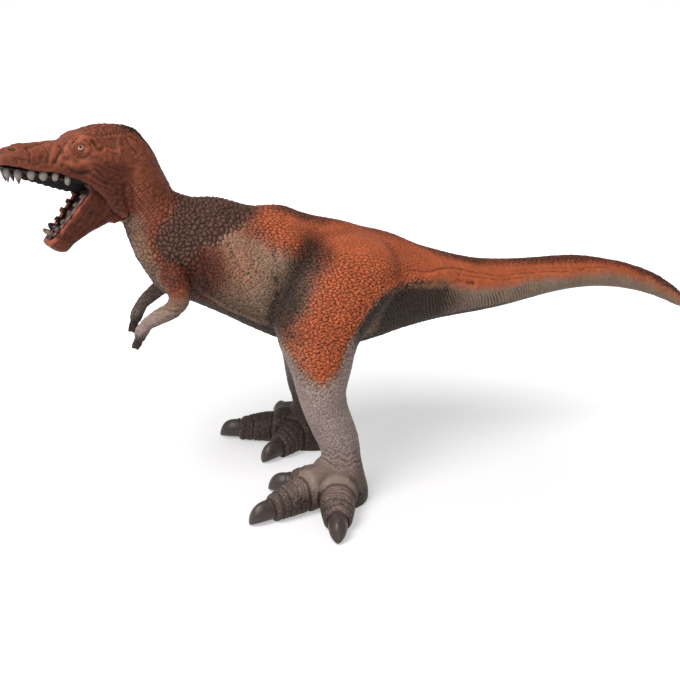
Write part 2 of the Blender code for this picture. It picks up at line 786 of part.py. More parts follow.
def tooth(name, root, direction, length, radius):
    """A cone with a rounded tip, on a root sunk into the gum strip."""
    side = direction.orthogonal().normalized()
    up = direction.cross(side).normalized()
    rings = []
    for along, size in TOOTH_SHARES:
        centre = root + direction * (along * length)
        rings.append(Station(centre, up, side, size * radius, size * radius).ring(TOOTH_SIDES))
    return loft(name, rings)


def arch_point(place, half_width, reach, inset, position):
    """A point on a tooth row: position runs from -1, left rear, over 0, front, to 1."""
    first, last = reach
    along = last - (last - first) * abs(position) ** ARCH_POWER
    fade = min(1.0, abs(position) / ARCH_FRONT_SHARE)
    aside = (half_width(along) - inset) * math.sin(fade * math.pi / 2)
    return place(along, math.copysign(aside, position))


def upper_place(along, aside):
    return head_point(along * SKULL_LENGTH, aside, lip_rise(along) + GUM_HEIGHT / 2)


def lower_place(along, aside):
    return rim_point(along, RIM_SINK + GUM_HEIGHT / 2) + head_direction(0.0, aside, 0.0)


def tooth_row(name, place, half_width, reach, inset, direction, table):
    """A horseshoe of gum that carries the teeth; direction points out of the gum."""
    count = ARCH_STEPS
    points = [arch_point(place, half_width, reach, inset, step / count)
              for step in range(-count, count + 1)]
    rings = []
    for index, point in enumerate(points):
        ahead = points[min(index + 1, len(points) - 1)]
        behind = points[max(index - 1, 0)]
        across = direction.cross(ahead - behind).normalized()
        rings.append(Station(point, direction, across, GUM_WIDTH / 2, GUM_HEIGHT / 2,
                             powers=(3.0, 3.0)).ring(TOOTH_SIDES + 2))
    row = loft(name, rings)
    for position, length, radius in table:
        for side in (-1, 1):
            root = arch_point(place, half_width, reach, inset, side * position)
            join(row, tooth("tooth", root, direction, length * TOOTH_LENGTH,
                            radius * TOOTH_RADIUS))
    finish(row, "tooth_vinyl")
    return row


def make_teeth():
    tooth_row("upper_teeth", upper_place, skull_half_width, UPPER_ROW_SHARES,
              LIP_WALL + SEAM_GAP + GUM_WIDTH / 2, head_direction(0.0, 0.0, -1.0),
              UPPER_TOOTH_SHARES)
    row = tooth_row("lower_teeth", lower_place, jaw_half_width, LOWER_ROW_SHARES,
                    RIM_WALL + FLOOR_CURVE + GUM_WIDTH / 2, rim_normal(), LOWER_TOOTH_SHARES)
    row.data.transform(Matrix.Translation(-hinge_point()))
    row.location = hinge_point()


# Legs and feet

def right_only(side, size):
    """A size by which the right leg differs from the left."""
    return size if side > 0 else 0.0


def share_at(shares, height):
    heights, values = zip(*shares)
    return float(np.interp(height, heights, values))


def ankle_point(side, height=0.0, spread=1.0):
    """The middle of the leg at a height, on the floor; the right leg trails at the knee."""
    setback = right_only(side, RIGHT_LEG_SETBACK) * share_at(SETBACK_SHARES, height)
    inward = right_only(side, RIGHT_FOOT_INWARD) * share_at(INWARD_SHARES, height)
    return Vector((ANKLE_X + setback, side * (spread * ANKLE_SPREAD - inward), 0.0))


def leg_stations(side):
    stations = []
    for height, shift, length, spread, width in smooth_rows(LEG_SHARES, 2):
        centre = ankle_point(side, height, spread)
        centre += Vector((shift * THIGH_LENGTH, 0.0, height * BODY_HEIGHT))
        stations.append(Station(centre, (1.0, 0.0, 0.0), (0.0, 1.0, 0.0),
                                width * THIGH_WIDTH / 2, length * THIGH_LENGTH / 2))
    return stations


def toe_direction(side, angle):
    turn = math.radians(angle)
    return Vector((-math.cos(turn), side * math.sin(turn), 0.0))


def toe(name, side, angle, length):
    up = Vector((0.0, 0.0, 1.0))
    direction = toe_direction(side, angle)
    across = direction.cross(up)
    rings = []
    for along, height, width in TOE_SHARES:
        centre = (ankle_point(side) + direction * (along * length)
                  + up * (height * TOE_HEIGHT / 2 - SOLE_CUT))
        rings.append(Station(centre, up, across, width * TOE_WIDTH / 2,
                             height * TOE_HEIGHT / 2).ring(TOE_SIDES))
    return loft(name, rings)


def claw(name, side, angle, length, grow=0.0):
    up = Vector((0.0, 0.0, 1.0))
    direction = toe_direction(side, angle)
    across = direction.cross(up)
    rings = []
    for along, size, droop in ((-CLAW_ROOT / CLAW_LENGTH, 1.0, 0.0),) + CLAW_SHARES:
        reach = length + along * CLAW_LENGTH - (grow if along < 0.0 else 0.0)
        centre = (ankle_point(side) + direction * reach
                  + up * (CLAW_RISE_SHARE * TOE_HEIGHT - droop * CLAW_HEIGHT))
        rings.append(Station(centre, up, across, size * CLAW_WIDTH / 2 + grow,
                             size * CLAW_HEIGHT / 2 + grow).ring(CLAW_SIDES))
    return loft(name, rings)


def make_legs():
    for side, word, toes in ((-1, "left", LEFT_TOES), (1, "right", RIGHT_TOES)):
        leg = loft("leg_" + word, [station.ring(LIMB_SIDES) for station in leg_stations(side)])
        for _, angle, length in toes:
            join(leg, toe("toe", side, angle, length))
        floor = bpy.data.meshes.new("floor")
        working = bmesh.new()
        bmesh.ops.create_cube(working, size=BODY_HEIGHT * 2,
                              matrix=Matrix.Translation(ankle_point(side)
                                                        - Vector((0.0, 0.0, BODY_HEIGHT))))
        working.to_mesh(floor)
        working.free()
        cut(leg, new_object("floor", floor))
        cut(leg, torso_block("hip_seat", SEAM_GAP))
        out = Vector((0.0, side, 0.0))
        hip = hip_point(side)
        plug = cylinder("plug", hip + out * OVERRUN, hip - out * (HIP_PLUG_SHARE * SKIN_WALL),
                        HIP_PLUG_RADIUS)
        join(leg, plug)
        for name, angle, length in toes:
            cut(leg, claw("claw_socket", side, angle, length, SEAM_GAP))
            finish(claw("claw_" + word + "_" + name, side, angle, length), "claw_vinyl")
        finish(leg, "grey_vinyl")


# Arms

def arm_centres(side):
    seat = shoulder_point(side)
    centres = []
    for _, reach, drop, inward, _, _ in ARM_SHARES:
        centres.append(seat + Vector((-reach * ARM_REACH, -side * inward * ARM_INWARD,
                                      -drop * ARM_DROP)))
    return centres


def finger(name, root, direction):
    side = direction.orthogonal().normalized()
    up = direction.cross(side).normalized()
    rings = []
    for along, size in FINGER_SHARES:
        centre = root + direction * (along * FINGER_LENGTH)
        rings.append(Station(centre, up, side, size * FINGER_RADIUS,
                             size * FINGER_RADIUS).ring(CLAW_SIDES))
    return loft(name, rings)


def make_arms():
    for side, word in ((-1, "left"), (1, "right")):
        centres = arm_centres(side)
        rings = []
        for index, row in enumerate(ARM_SHARES):
            before = centres[max(index - 1, 0)]
            after = centres[min(index + 1, len(centres) - 1)]
            tangent = (after - before).normalized()
            across = Vector((0.0, 1.0, 0.0))
            across = (across - tangent * tangent.dot(across)).normalized()
            rings.append(Station(centres[index], tangent.cross(across), across,
                                 row[5] * ARM_THICKNESS / 2,
                                 row[4] * ARM_THICKNESS / 2).ring(TOE_SIDES))
        arm = loft("arm_" + word, rings)
        tangent = (centres[-1] - centres[-2]).normalized()
        for fan in (-0.5, 0.5):
            swing = Matrix.Rotation(math.radians(fan * FINGER_FAN), 3, "Y")
            join(arm, finger("finger", centres[-1], swing @ tangent))
        seat = shoulder_point(side)
        out = Vector((0.0, side, 0.0))
        back = -SHOULDER_BOSS - RUNNING_GAP
        join(arm, turned("peg", seat, out, (
            (SHOULDER_CAP, SHOULDER_RADIUS), (RUNNING_GAP, SHOULDER_RADIUS),
            (RUNNING_GAP, ARM_PEG_RADIUS), (back, ARM_PEG_RADIUS), (back, ARM_HEAD_RADIUS),
            (back - ARM_HEAD_THICKNESS, ARM_HEAD_RADIUS))))
        finish(arm, "tan_vinyl", seat)


def clear_scene():
    for item in list(bpy.data.objects):
        bpy.data.objects.remove(item, do_unlink=True)


def centre_stance():
    """The right foot stands further in, so half of that centres the figure on its origin."""
    for piece in bpy.data.objects:
        piece.location.y += RIGHT_FOOT_INWARD / 2


def main():
    clear_scene()
    make_torso()
    make_tail()
    make_head()
    make_eyes()
    make_jaw()
    make_teeth()
    make_legs()
    make_arms()
    centre_stance()


main()
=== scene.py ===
"""Looks of a soft vinyl toy dinosaur: sculpted skins, airbrushed paint, teeth, claws and eyes.

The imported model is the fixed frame. Lengths here are millimetres. Those of the scene itself, its
pieces, floor, lamp and camera, are metres.
The head's own places are given as (ahead, height): millimetres ahead of its pivot, and above
the floor. The body's places are given as (along, height) in the side view, along +X.
"""

import json
import math
from itertools import product

import bmesh
import bpy
import numpy as np
from mathutils import Matrix, Vector
from mathutils.bvhtree import BVHTree


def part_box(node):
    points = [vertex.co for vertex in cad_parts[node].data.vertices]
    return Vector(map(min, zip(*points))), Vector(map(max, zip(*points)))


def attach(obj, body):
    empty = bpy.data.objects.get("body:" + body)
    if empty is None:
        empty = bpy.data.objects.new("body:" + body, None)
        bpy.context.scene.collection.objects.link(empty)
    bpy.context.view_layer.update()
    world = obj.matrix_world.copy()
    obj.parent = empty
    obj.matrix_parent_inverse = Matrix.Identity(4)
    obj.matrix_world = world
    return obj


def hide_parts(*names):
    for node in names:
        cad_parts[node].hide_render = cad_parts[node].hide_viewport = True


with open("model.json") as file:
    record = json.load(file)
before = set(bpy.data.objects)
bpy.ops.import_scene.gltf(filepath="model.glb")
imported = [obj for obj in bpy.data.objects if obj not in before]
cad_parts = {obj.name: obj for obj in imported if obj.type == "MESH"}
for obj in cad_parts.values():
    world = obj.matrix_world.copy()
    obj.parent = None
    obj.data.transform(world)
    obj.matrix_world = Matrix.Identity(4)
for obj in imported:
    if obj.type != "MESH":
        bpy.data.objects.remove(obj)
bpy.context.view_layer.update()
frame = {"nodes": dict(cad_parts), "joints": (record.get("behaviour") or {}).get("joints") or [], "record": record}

bl_info = {
    "name": "Toy dinosaur finish",
    "version": (1, 0, 0),
    "blender": (4, 5, 0),
    "location": "3D View > Sidebar > Dinosaur",
    "description": "Skins, paint, teeth, claws, eyes and stage of a soft vinyl toy dinosaur",
    "category": "Object",
}

METRES = 0.001
# The torso's middle plane, across the figure
MIDDLE = sum(corner.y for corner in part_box("torso_shell")) / 2 / METRES

# Joints and mounts taken from the frame
JOINTS = {joint["name"]: joint for joint in frame["joints"]}
MOUNTS = {mount["name"]: mount for mount in frame["record"]["mounts"]}
HINGE = Vector(JOINTS["jaw_hinge"]["pos_m"])
ASIDE = Vector(JOINTS["jaw_hinge"]["axis"])
AHEAD = Vector((-ASIDE.y, ASIDE.x, 0.0))
UP = Vector((0.0, 0.0, 1.0))
# The head's places are measured from this pivot in the neck, this far behind the jaw's hinge
HINGE_AHEAD = 22.98
PIVOT = HINGE - AHEAD * (HINGE_AHEAD * METRES)
# The open jaw's rim falls by this angle and lies this far over the hinge
GAPE = math.radians(48.5)
RIM_AHEAD = AHEAD * math.cos(GAPE) - UP * math.sin(GAPE)
RIM_UP = AHEAD * math.sin(GAPE) + UP * math.cos(GAPE)
RIM_LIFT = 2.4

# The body's skins, in the order of the numbers that name the owner of each vertex
TORSO, TAIL, HEAD, LEFT_LEG, RIGHT_LEG = range(5)
SKIN_NODES = {"torso_skin": "torso_shell", "tail_skin": "tail_shell", "head_skin": "head_shell",
              "leg_left_skin": "leg_left", "leg_right_skin": "leg_right"}
# Coats stored on the skins; the last two are dark paint with painted shade in the hollows, and painted highlights
# on the high spots
MASKS = ("orange", "rust", "deep", "brown", "grey", "dark", "foot", "tan", "mouth", "lip", "hollow_paint_and_shade",
         "highlight")


def linear(red, green, blue):
    """A colour as seen on a screen, 0 to 255, as the linear values that a shader takes."""
    shares = [value / 255.0 for value in (red, green, blue)]
    return tuple(share / 12.92 if share <= 0.04045 else ((share + 0.055) / 1.055) ** 2.4
                 for share in shares)


# Number tools

def fade(low, high, values):
    """0 at low, 1 at high and smooth between them; low may be the larger."""
    share = np.clip((np.asarray(values, dtype=float) - low) / (high - low), 0.0, 1.0)
    return share * share * (3.0 - 2.0 * share)


def scatter(cells, salt):
    """A repeatable value from 0 to 1 for each whole-numbered cell."""
    mixed = (cells[:, 0] * 73856093) ^ (cells[:, 1] * 19349663) ^ (cells[:, 2] * 83492791)
    mixed = (mixed + salt * 2654435761) & 0xFFFFFFFF
    mixed = ((mixed ^ (mixed >> 15)) * 2246822519) & 0xFFFFFFFF
    mixed = ((mixed ^ (mixed >> 13)) * 3266489917) & 0xFFFFFFFF
    return ((mixed ^ (mixed >> 16)) & 0xFFFFFF) / float(0xFFFFFF)


def ripple(places, size, salt=0):
    """Smooth noise from -1 to 1 with humps about one size across."""
    scaled = places / size
    base = np.floor(scaled).astype(np.int64)
    blend = scaled - base
    blend = blend * blend * (3.0 - 2.0 * blend)
    total = np.zeros(len(places))
    for corner in product((0, 1), repeat=3):
        share = np.prod(np.where(np.array(corner) == 1, blend, 1.0 - blend), axis=1)
        total += share * scatter(base + np.array(corner), salt)
    return total * 2.0 - 1.0


def pebbles(places, size, jitter=0.85, salt=0):
    """Distance to the nearest pebble's edge in pebble sizes, and a tone for each pebble."""
    scaled = places / size
    base = np.floor(scaled).astype(np.int64)
    first = np.full(len(places), 9.0)
    second = np.full(len(places), 9.0)
    tone = np.zeros(len(places))
    for step in product((-1, 0, 1), repeat=3):
        cell = base + np.array(step)
        middle = np.stack([scatter(cell, salt + axis) for axis in range(3)], axis=1)
        middle = cell + 0.5 + jitter * (middle - 0.5)
        distance = np.linalg.norm(scaled - middle, axis=1)
        closer = distance < first
        second = np.where(closer, first, np.minimum(second, distance))
        tone = np.where(closer, scatter(cell, salt + 7), tone)
        first = np.where(closer, distance, first)
    return second - first, tone


def bead(edge, rim=0.42):
    """The height of a pebble, 0 in its groove and 1 on its top."""
    share = np.clip(edge / rim, 0.0, 1.0)
    return np.sqrt(share * (2.0 - share))


def flowing(path, parts=6):
    """A path of points as a smooth curve through them."""
    path = np.array(path, dtype=float)
    if len(path) < 3:
        return path
    ahead = np.vstack([2 * path[0] - path[1], path, 2 * path[-1] - path[-2]])
    result = []
    for index in range(1, len(ahead) - 2):
        before, start, end, after = ahead[index - 1:index + 3]
        for part in range(parts):
            t = part / parts
            result.append(0.5 * (2 * start + (end - before) * t
                                 + (2 * before - 5 * start + 4 * end - after) * t ** 2
                                 + (3 * start - before - 3 * end + after) * t ** 3))
    result.append(path[-1])
    return np.array(result)


def distance_to(places, path):
    """Distance of each flat place to a path."""
    best = np.full(len(places), np.inf)
    for start, end in zip(path, path[1:]):
        span = end - start
        share = np.clip(((places - start) @ span) / max(span @ span, 1e-9), 0.0, 1.0)
        best = np.minimum(best, np.linalg.norm(places - start - share[:, None] * span, axis=1))
    return best


def spot(places, centre, radii, soft=0.4, turn=0.0):
    """An oval airbrushed spot, 1 inside and fading to 0 over its soft edge."""
    angle = math.radians(turn)
    offset = places - np.array(centre, dtype=float)
    across = (offset[:, 0] * math.cos(angle) + offset[:, 1] * math.sin(angle)) / radii[0]
    along = (offset[:, 1] * math.cos(angle) - offset[:, 0] * math.sin(angle)) / radii[1]
    return fade(1.0 + soft, 1.0 - soft, np.hypot(across, along))


def level(line, values):
    """The height of a line of (place, height) points over each value."""
    table = np.array(line, dtype=float)
    return np.interp(values, table[:, 0], table[:, 1])


# Skins as arrays

class Skin:
    """A closed skin cast from CAD nodes: places in millimetres, four-sided faces and masks."""

    def __init__(self, nodes, voxel, fills=()):
        self.places, self.faces = cast(nodes, voxel, fills)
        sides = np.vstack([self.faces[:, [0, 1]], self.faces[:, [1, 2]],
                           self.faces[:, [2, 3]], self.faces[:, [3, 0]]])
        sides.sort(axis=1)
        self.edges = np.unique(sides, axis=0)
        self.keep_largest()
        self.relief = np.zeros(len(self.places))
        self.masks = {name: np.zeros(len(self.places)) for name in MASKS}

    def keep_largest(self):
        """Drops the walls of closed hollows inside."""
        label = np.arange(len(self.places))
        while True:
            low = np.minimum(label[self.edges[:, 0]], label[self.edges[:, 1]])
            spread = label.copy()
            np.minimum.at(spread, self.edges[:, 0], low)
            np.minimum.at(spread, self.edges[:, 1], low)
            spread = spread[spread]
            if np.array_equal(spread, label):
                break
            label = spread
        kept = label == np.bincount(label).argmax()
        index = np.cumsum(kept) - 1
        self.places = self.places[kept]
        self.faces = index[self.faces[kept[self.faces[:, 0]]]]
        self.edges = index[self.edges[kept[self.edges[:, 0]]]]

    def around(self, values):
        """The mean of each vertex's neighbours."""
        count = len(values)
        start, end = self.edges.T
        degree = np.bincount(self.edges.ravel(), minlength=count)
        columns = values.reshape(count, -1).T
        total = [np.bincount(start, weights=column[end], minlength=count)
                 + np.bincount(end, weights=column[start], minlength=count)
                 for column in columns]
        return (np.array(total) / degree).T.reshape(values.shape)

    def relaxed(self, values, rounds, share=0.8):
        """Values drawn a share of the way to their neighbours' mean, round by round."""
        share = np.asarray(share, dtype=float)
        if values.ndim == 2 and share.ndim == 1:
            share = share[:, None]
        for _ in range(rounds):
            values = values + share * (self.around(values) - values)
        return values

    def normals(self):
        """The outward direction at each vertex."""
        corners = self.places[self.faces]
        flat = np.cross(corners[:, 2] - corners[:, 0], corners[:, 3] - corners[:, 1])
        total = np.zeros_like(self.places)
        for axis in range(3):
            weights = np.repeat(flat[:, axis], 4)
            total[:, axis] = np.bincount(self.faces.ravel(), weights=weights,
                                         minlength=len(self.places))
        return total / np.maximum(np.linalg.norm(total, axis=1), 1e-12)[:, None]

    def emboss(self):
        """Moves the skin out by its relief and starts a new relief."""
        self.places = self.places + self.normals() * self.relief[:, None]
        self.relief = np.zeros(len(self.places))

    def press(self, places, creases, amount=1.0):
        """Cuts grooves of uneven depth, and raises ridges where the depth is below zero."""
        uneven = 0.72 + 0.42 * ripple(self.places, 4.5, 23)
        for width, depth, path in creases:
            near = distance_to(places, flowing(path))
            self.relief -= amount * uneven * depth * np.exp(-(near / width) ** 2)

    def find_hollows_and_high_spots(self, rounds=5, reach=0.16):
        """Finds the hollows, which take dark paint and painted shade, and the high spots, which take painted
        highlights.
        """
        inward = self.relaxed(self.places, rounds) - self.places
        hollow = np.einsum("ij,ij->i", inward, self.normals())
        self.masks["hollow_paint_and_shade"] = np.clip(hollow / reach, 0.0, 1.0)
        self.masks["highlight"] = np.clip(-hollow / reach, 0.0, 1.0)

    def in_head(self):
        """Places as millimetres ahead of the pivot, aside and above the floor."""
        offset = self.places - np.array(PIVOT) / METRES
        return np.stack([offset @ np.array(AHEAD), offset @ np.array(ASIDE),
                         self.places[:, 2]], axis=1)


def cast(nodes, voxel, fills):
    """Voxel skin round copies of CAD nodes and fill rods, as places in millimetres and faces."""
    working = bmesh.new()
    for node in nodes:
        working.from_mesh(frame["nodes"][node].data)
    bmesh.ops.remove_doubles(working, verts=working.verts[:], dist=1e-6)
    for start, end, radius in fills:
        span = Vector(end) - Vector(start)
        place = Matrix.Translation((Vector(start) + Vector(end)) / 2)
        turn = span.to_track_quat("Z", "Y").to_matrix().to_4x4()
        bmesh.ops.create_cone(working, cap_ends=True, segments=40, radius1=radius,
                              radius2=radius, depth=span.length, matrix=place @ turn)
    mesh = bpy.data.meshes.new("casting")
    working.to_mesh(mesh)
    working.free()
    carrier = bpy.data.objects.new("casting", mesh)
    bpy.context.scene.collection.objects.link(carrier)
    remesh = carrier.modifiers.new("voxels", "REMESH")
    remesh.mode = "VOXEL"
    remesh.voxel_size = voxel * METRES
    evaluated = carrier.evaluated_get(bpy.context.evaluated_depsgraph_get())
    result = evaluated.to_mesh()
    places = np.empty(len(result.vertices) * 3)
    result.vertices.foreach_get("co", places)
    corners = np.empty(len(result.loops), dtype=np.int64)
    result.loops.foreach_get("vertex_index", corners)
    evaluated.to_mesh_clear()
    bpy.data.objects.remove(carrier, do_unlink=True)
    return places.reshape(-1, 3) / METRES, corners.reshape(-1, 4)


# Pieces

def add_piece(name, mesh, body, material, nodes=()):
    """Links a mesh as a named piece that rides on a body."""
    mesh.name = name
    piece = bpy.data.objects.new(name, mesh)
    bpy.context.scene.collection.objects.link(piece)
    mesh.materials.clear()
    mesh.materials.append(material)
    mesh.shade_smooth()
    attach(piece, body)
    if nodes:
        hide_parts(*nodes)
    return piece


def skin_mesh(name, skin, chosen=None):
    """A mesh of a skin, or of its chosen faces with the openings between pieces closed."""
    faces = skin.faces if chosen is None else skin.faces[chosen]
    used = np.unique(faces)
    index = np.full(len(skin.places), -1)
    index[used] = np.arange(len(used))
    places = skin.places[used] * METRES
    faces = index[faces]
    caps, hubs = closing_fans(places, faces)
    everything = np.vstack([places, hubs]) if len(hubs) else places
    mesh = bpy.data.meshes.new(name)
    mesh.from_pydata(everything.tolist(), [], faces.tolist() + caps)
    for mask, values in skin.masks.items():
        layer = mesh.attributes.new(mask, "FLOAT", "POINT")
        stored = np.zeros(len(everything), dtype=np.float32)
        stored[:len(used)] = values[used]
        layer.data.foreach_set("value", stored)
    mesh.shade_smooth()
    if chosen is not None:
        normals = np.zeros_like(everything)
        normals[:len(used)] = skin.normals()[used]
        normals[len(used):] = (0.0, 0.0, 1.0)
        mesh.normals_split_custom_set_from_vertices(normals.tolist())
    return mesh


def closing_fans(places, faces):
    """Triangles that close each open rim round a hub at its middle, and the hubs."""
    sides = np.vstack([faces[:, [0, 1]], faces[:, [1, 2]], faces[:, [2, 3]], faces[:, [3, 0]]])
    key = np.sort(sides, axis=1)
    _, first, count = np.unique(key, axis=0, return_index=True, return_counts=True)
    after = {}
    for start, end in sides[first[count == 1]].tolist():
        after.setdefault(start, []).append(end)
    caps = []
    hubs = []
    while after:
        start = next(iter(after))
        rim = [start]
        while True:
            follow = after[rim[-1]]
            step = follow.pop()
            if not follow:
                del after[rim[-1]]
            if step == start or step not in after:
                break
            rim.append(step)
        hub = len(places) + len(hubs)
        hubs.append(places[rim].mean(axis=0))
        for one, other in zip(rim, rim[1:] + rim[:1]):
            caps.append([other, one, hub])
    return caps, np.array(hubs)


def rings_mesh(name, rings, closed_ends=True):
    """A mesh through rings with the same number of points, given in metres."""
    working = bmesh.new()
    loops = [[working.verts.new(point) for point in ring] for ring in rings]
    for first, second in zip(loops, loops[1:]):
        for step in range(len(first)):
            after = (step + 1) % len(first)
            working.faces.new((first[step], first[after], second[after], second[step]))
    if closed_ends:
        working.faces.new(loops[0])
        working.faces.new(loops[-1])
    bmesh.ops.recalc_face_normals(working, faces=working.faces[:])
    mesh = bpy.data.meshes.new(name)
    working.to_mesh(mesh)
    working.free()
    return mesh


def store(mesh, name, values):
    """A value for each vertex of a mesh, for its material."""
    layer = mesh.attributes.new(name, "FLOAT", "POINT")
    layer.data.foreach_set("value", np.asarray(values, dtype=np.float32))


def join_meshes(name, parts):
    """One mesh of several, with their stored values kept."""
    working = bmesh.new()
    for part in parts:
        working.from_mesh(part)
    mesh = bpy.data.meshes.new(name)
    working.to_mesh(mesh)
    working.free()
    for part in parts:
        bpy.data.meshes.remove(part)
    return mesh


# Shader node groups

def new_group(name, inputs, outputs):
    """A shader node group with its input and output nodes."""
    group = bpy.data.node_groups.new(name, "ShaderNodeTree")
    for kind, sockets in (("INPUT", inputs), ("OUTPUT", outputs)):
        for label, socket_type, default in sockets:
            socket = group.interface.new_socket(label, in_out=kind, socket_type=socket_type)
            if default is not None:
                socket.default_value = default
    start = group.nodes.new("NodeGroupInput")
    end = group.nodes.new("NodeGroupOutput")
    return group, start.outputs, end.inputs


def place_node(tree, kind, settings=(), values=(), links=()):
    """A node with its settings, socket values and incoming links."""
    node = tree.nodes.new(kind)
    for name, value in dict(settings).items():
        setattr(node, name, value)
    for name, value in dict(values).items():
        node.inputs[name].default_value = value
    for name, source in dict(links).items():
        tree.links.new(source, node.inputs[name])
    return node


def math_node(tree, operation, first, second=None, third=None):
    """A Math node's output; each input is a socket or a number."""
    node = tree.nodes.new("ShaderNodeMath")
    node.operation = operation
    for socket, value in zip(node.inputs, (first, second, third)):
        if value is None:
            continue
        if isinstance(value, (int, float)):
            socket.default_value = value
        else:
            tree.links.new(value, socket)
    return node.outputs[0]


def mix_node(tree, factor, base, top):
    """A colour Mix node's output; each input is a socket, a number or a colour."""
    node = tree.nodes.new("ShaderNodeMix")
    node.data_type = "RGBA"
    for socket, value in ((node.inputs["Factor"], factor), (node.inputs[6], base),
                          (node.inputs[7], top)):
        if isinstance(value, (int, float)):
            socket.default_value = value
        elif isinstance(value, (tuple, list)):
            socket.default_value = (*value[:3], 1.0)
        else:
            tree.links.new(value, socket)
    return node.outputs[2]


def own_places(tree):
    """The object's own places as a socket."""
    return place_node(tree, "ShaderNodeTexCoord").outputs["Object"]


def noise_node(tree, scale, detail, places):
    """Noise from 0 to 1 as a socket."""
    return place_node(tree, "ShaderNodeTexNoise", values={"Scale": scale, "Detail": detail},
                      links={"Vector": places}).outputs["Fac"]


def step_node(tree, value, low, high, start=0.0, end=1.0):
    """A smooth step as a socket: start at low and end at high."""
    return place_node(tree, "ShaderNodeMapRange", {"interpolation_type": "SMOOTHSTEP"},
                      {"From Min": low, "From Max": high, "To Min": start, "To Max": end},
                      {"Value": value}).outputs[0]


def mask_node(tree, name):
    """A stored mask as a socket."""
    return place_node(tree, "ShaderNodeAttribute", {"attribute_name": name}).outputs["Fac"]


def sprayed_group():
    """Airbrushed coat: the mask's soft edge is broken into specks of paint."""
    group, given, result = new_group(
        "sprayed_coat",
        (("Base", "NodeSocketColor", None), ("Coat", "NodeSocketColor", None),
         ("Mask", "NodeSocketFloat", 0.0), ("Speck Scale", "NodeSocketFloat", 900.0),
         ("Break Up", "NodeSocketFloat", 0.5)),
        (("Color", "NodeSocketColor", None),))
    grid = own_places(group)
    speck = place_node(group, "ShaderNodeTexNoise", values={"Detail": 2.0},
                       links={"Vector": grid, "Scale": given["Speck Scale"]}).outputs["Fac"]
    offset = math_node(group, "MULTIPLY", math_node(group, "SUBTRACT", speck, 0.5),
                       given["Break Up"])
    bell = math_node(group, "MULTIPLY", given["Mask"],
                     math_node(group, "SUBTRACT", 1.0, given["Mask"]))
    broken = math_node(group, "ADD", given["Mask"],
                       math_node(group, "MULTIPLY", math_node(group, "MULTIPLY", bell, 8.0),
                                 offset))
    held = place_node(group, "ShaderNodeClamp", links={"Value": broken}).outputs[0]
    group.links.new(mix_node(group, held, given["Base"], given["Coat"]), result["Color"])
    return group


def relief_shade_group():
    """Dark paint and painted shade in the hollows, painted highlights on the high spots and a faint unevenness of
    the coat.
    """
    group, given, result = new_group(
        "relief_shade_and_highlight",
        (("Color", "NodeSocketColor", None), ("Hollow Paint And Shade Color", "NodeSocketColor", None),
         ("Hollow Paint And Shade", "NodeSocketFloat", 0.0), ("Highlight", "NodeSocketFloat", 0.0),
         ("Hollow Paint And Shade Depth", "NodeSocketFloat", 0.75), ("Highlight Gain", "NodeSocketFloat", 0.35),
         ("Mottle", "NodeSocketFloat", 0.25)),
        (("Color", "NodeSocketColor", None), ("Shine", "NodeSocketFloat", 0.0)))
    grid = own_places(group)
    cloud = noise_node(group, 90.0, 4.0, grid)
    spread = place_node(group, "ShaderNodeMapRange", values={
        "From Min": 0.3, "From Max": 0.7, "To Min": -1.0, "To Max": 1.0},
        links={"Value": cloud}).outputs[0]
    tone = math_node(group, "ADD", 1.0, math_node(group, "MULTIPLY", spread, given["Mottle"]))
    toned = place_node(group, "ShaderNodeVectorMath", {"operation": "SCALE"},
                       links={0: given["Color"], "Scale": tone}).outputs[0]
    darkened_in_hollows = mix_node(group, math_node(group, "MULTIPLY", given["Hollow Paint And Shade"], given["Hollow Paint And Shade Depth"]),
                      toned, given["Hollow Paint And Shade Color"])
    lift = math_node(group, "ADD", 1.0, math_node(group, "MULTIPLY", given["Highlight"],
                                                 given["Highlight Gain"]))
    highlit = place_node(group, "ShaderNodeVectorMath", {"operation": "SCALE"},
                        links={0: darkened_in_hollows, "Scale": lift}).outputs[0]
    group.links.new(highlit, result["Color"])
    shine = math_node(group, "SUBTRACT", given["Highlight"], given["Hollow Paint And Shade"])
    group.links.new(shine, result["Shine"])
    return group


def grain_group():
    """Fine skin grain: small bumps and pores as a height."""
    group, given, result = new_group(
        "skin_grain",
        (("Bump Scale", "NodeSocketFloat", 620.0), ("Bumps", "NodeSocketFloat", 1.0),
         ("Pores", "NodeSocketFloat", 0.4)),
        (("Height", "NodeSocketFloat", 0.0),))
    grid = own_places(group)
    wander = place_node(group, "ShaderNodeTexNoise", values={"Scale": 260.0, "Detail": 2.0},
                        links={"Vector": grid}).outputs["Color"]
    bent = place_node(group, "ShaderNodeVectorMath", {"operation": "MULTIPLY_ADD"},
                      values={1: (0.0016, 0.0016, 0.0016)},
                      links={0: wander, 2: grid}).outputs[0]
    cells = place_node(group, "ShaderNodeTexVoronoi", {"feature": "DISTANCE_TO_EDGE"},
                       links={"Vector": bent, "Scale": given["Bump Scale"]}).outputs["Distance"]
    dome = step_node(group, cells, 0.0, 0.22)
    pores = noise_node(group, 2600.0, 2.0, grid)
    total = math_node(group, "ADD", math_node(group, "MULTIPLY", dome, given["Bumps"]),
                      math_node(group, "MULTIPLY", pores, given["Pores"]))
    group.links.new(total, result["Height"])
    return group


GROUPS = {}


def shared_group(name):
    """A shared node group, built the first time that a material asks for it."""
    makers = {"sprayed_coat": sprayed_group, "relief_shade_and_highlight": relief_shade_group,
              "skin_grain": grain_group}
    if name not in GROUPS:
        GROUPS[name] = makers[name]()
    return GROUPS[name]


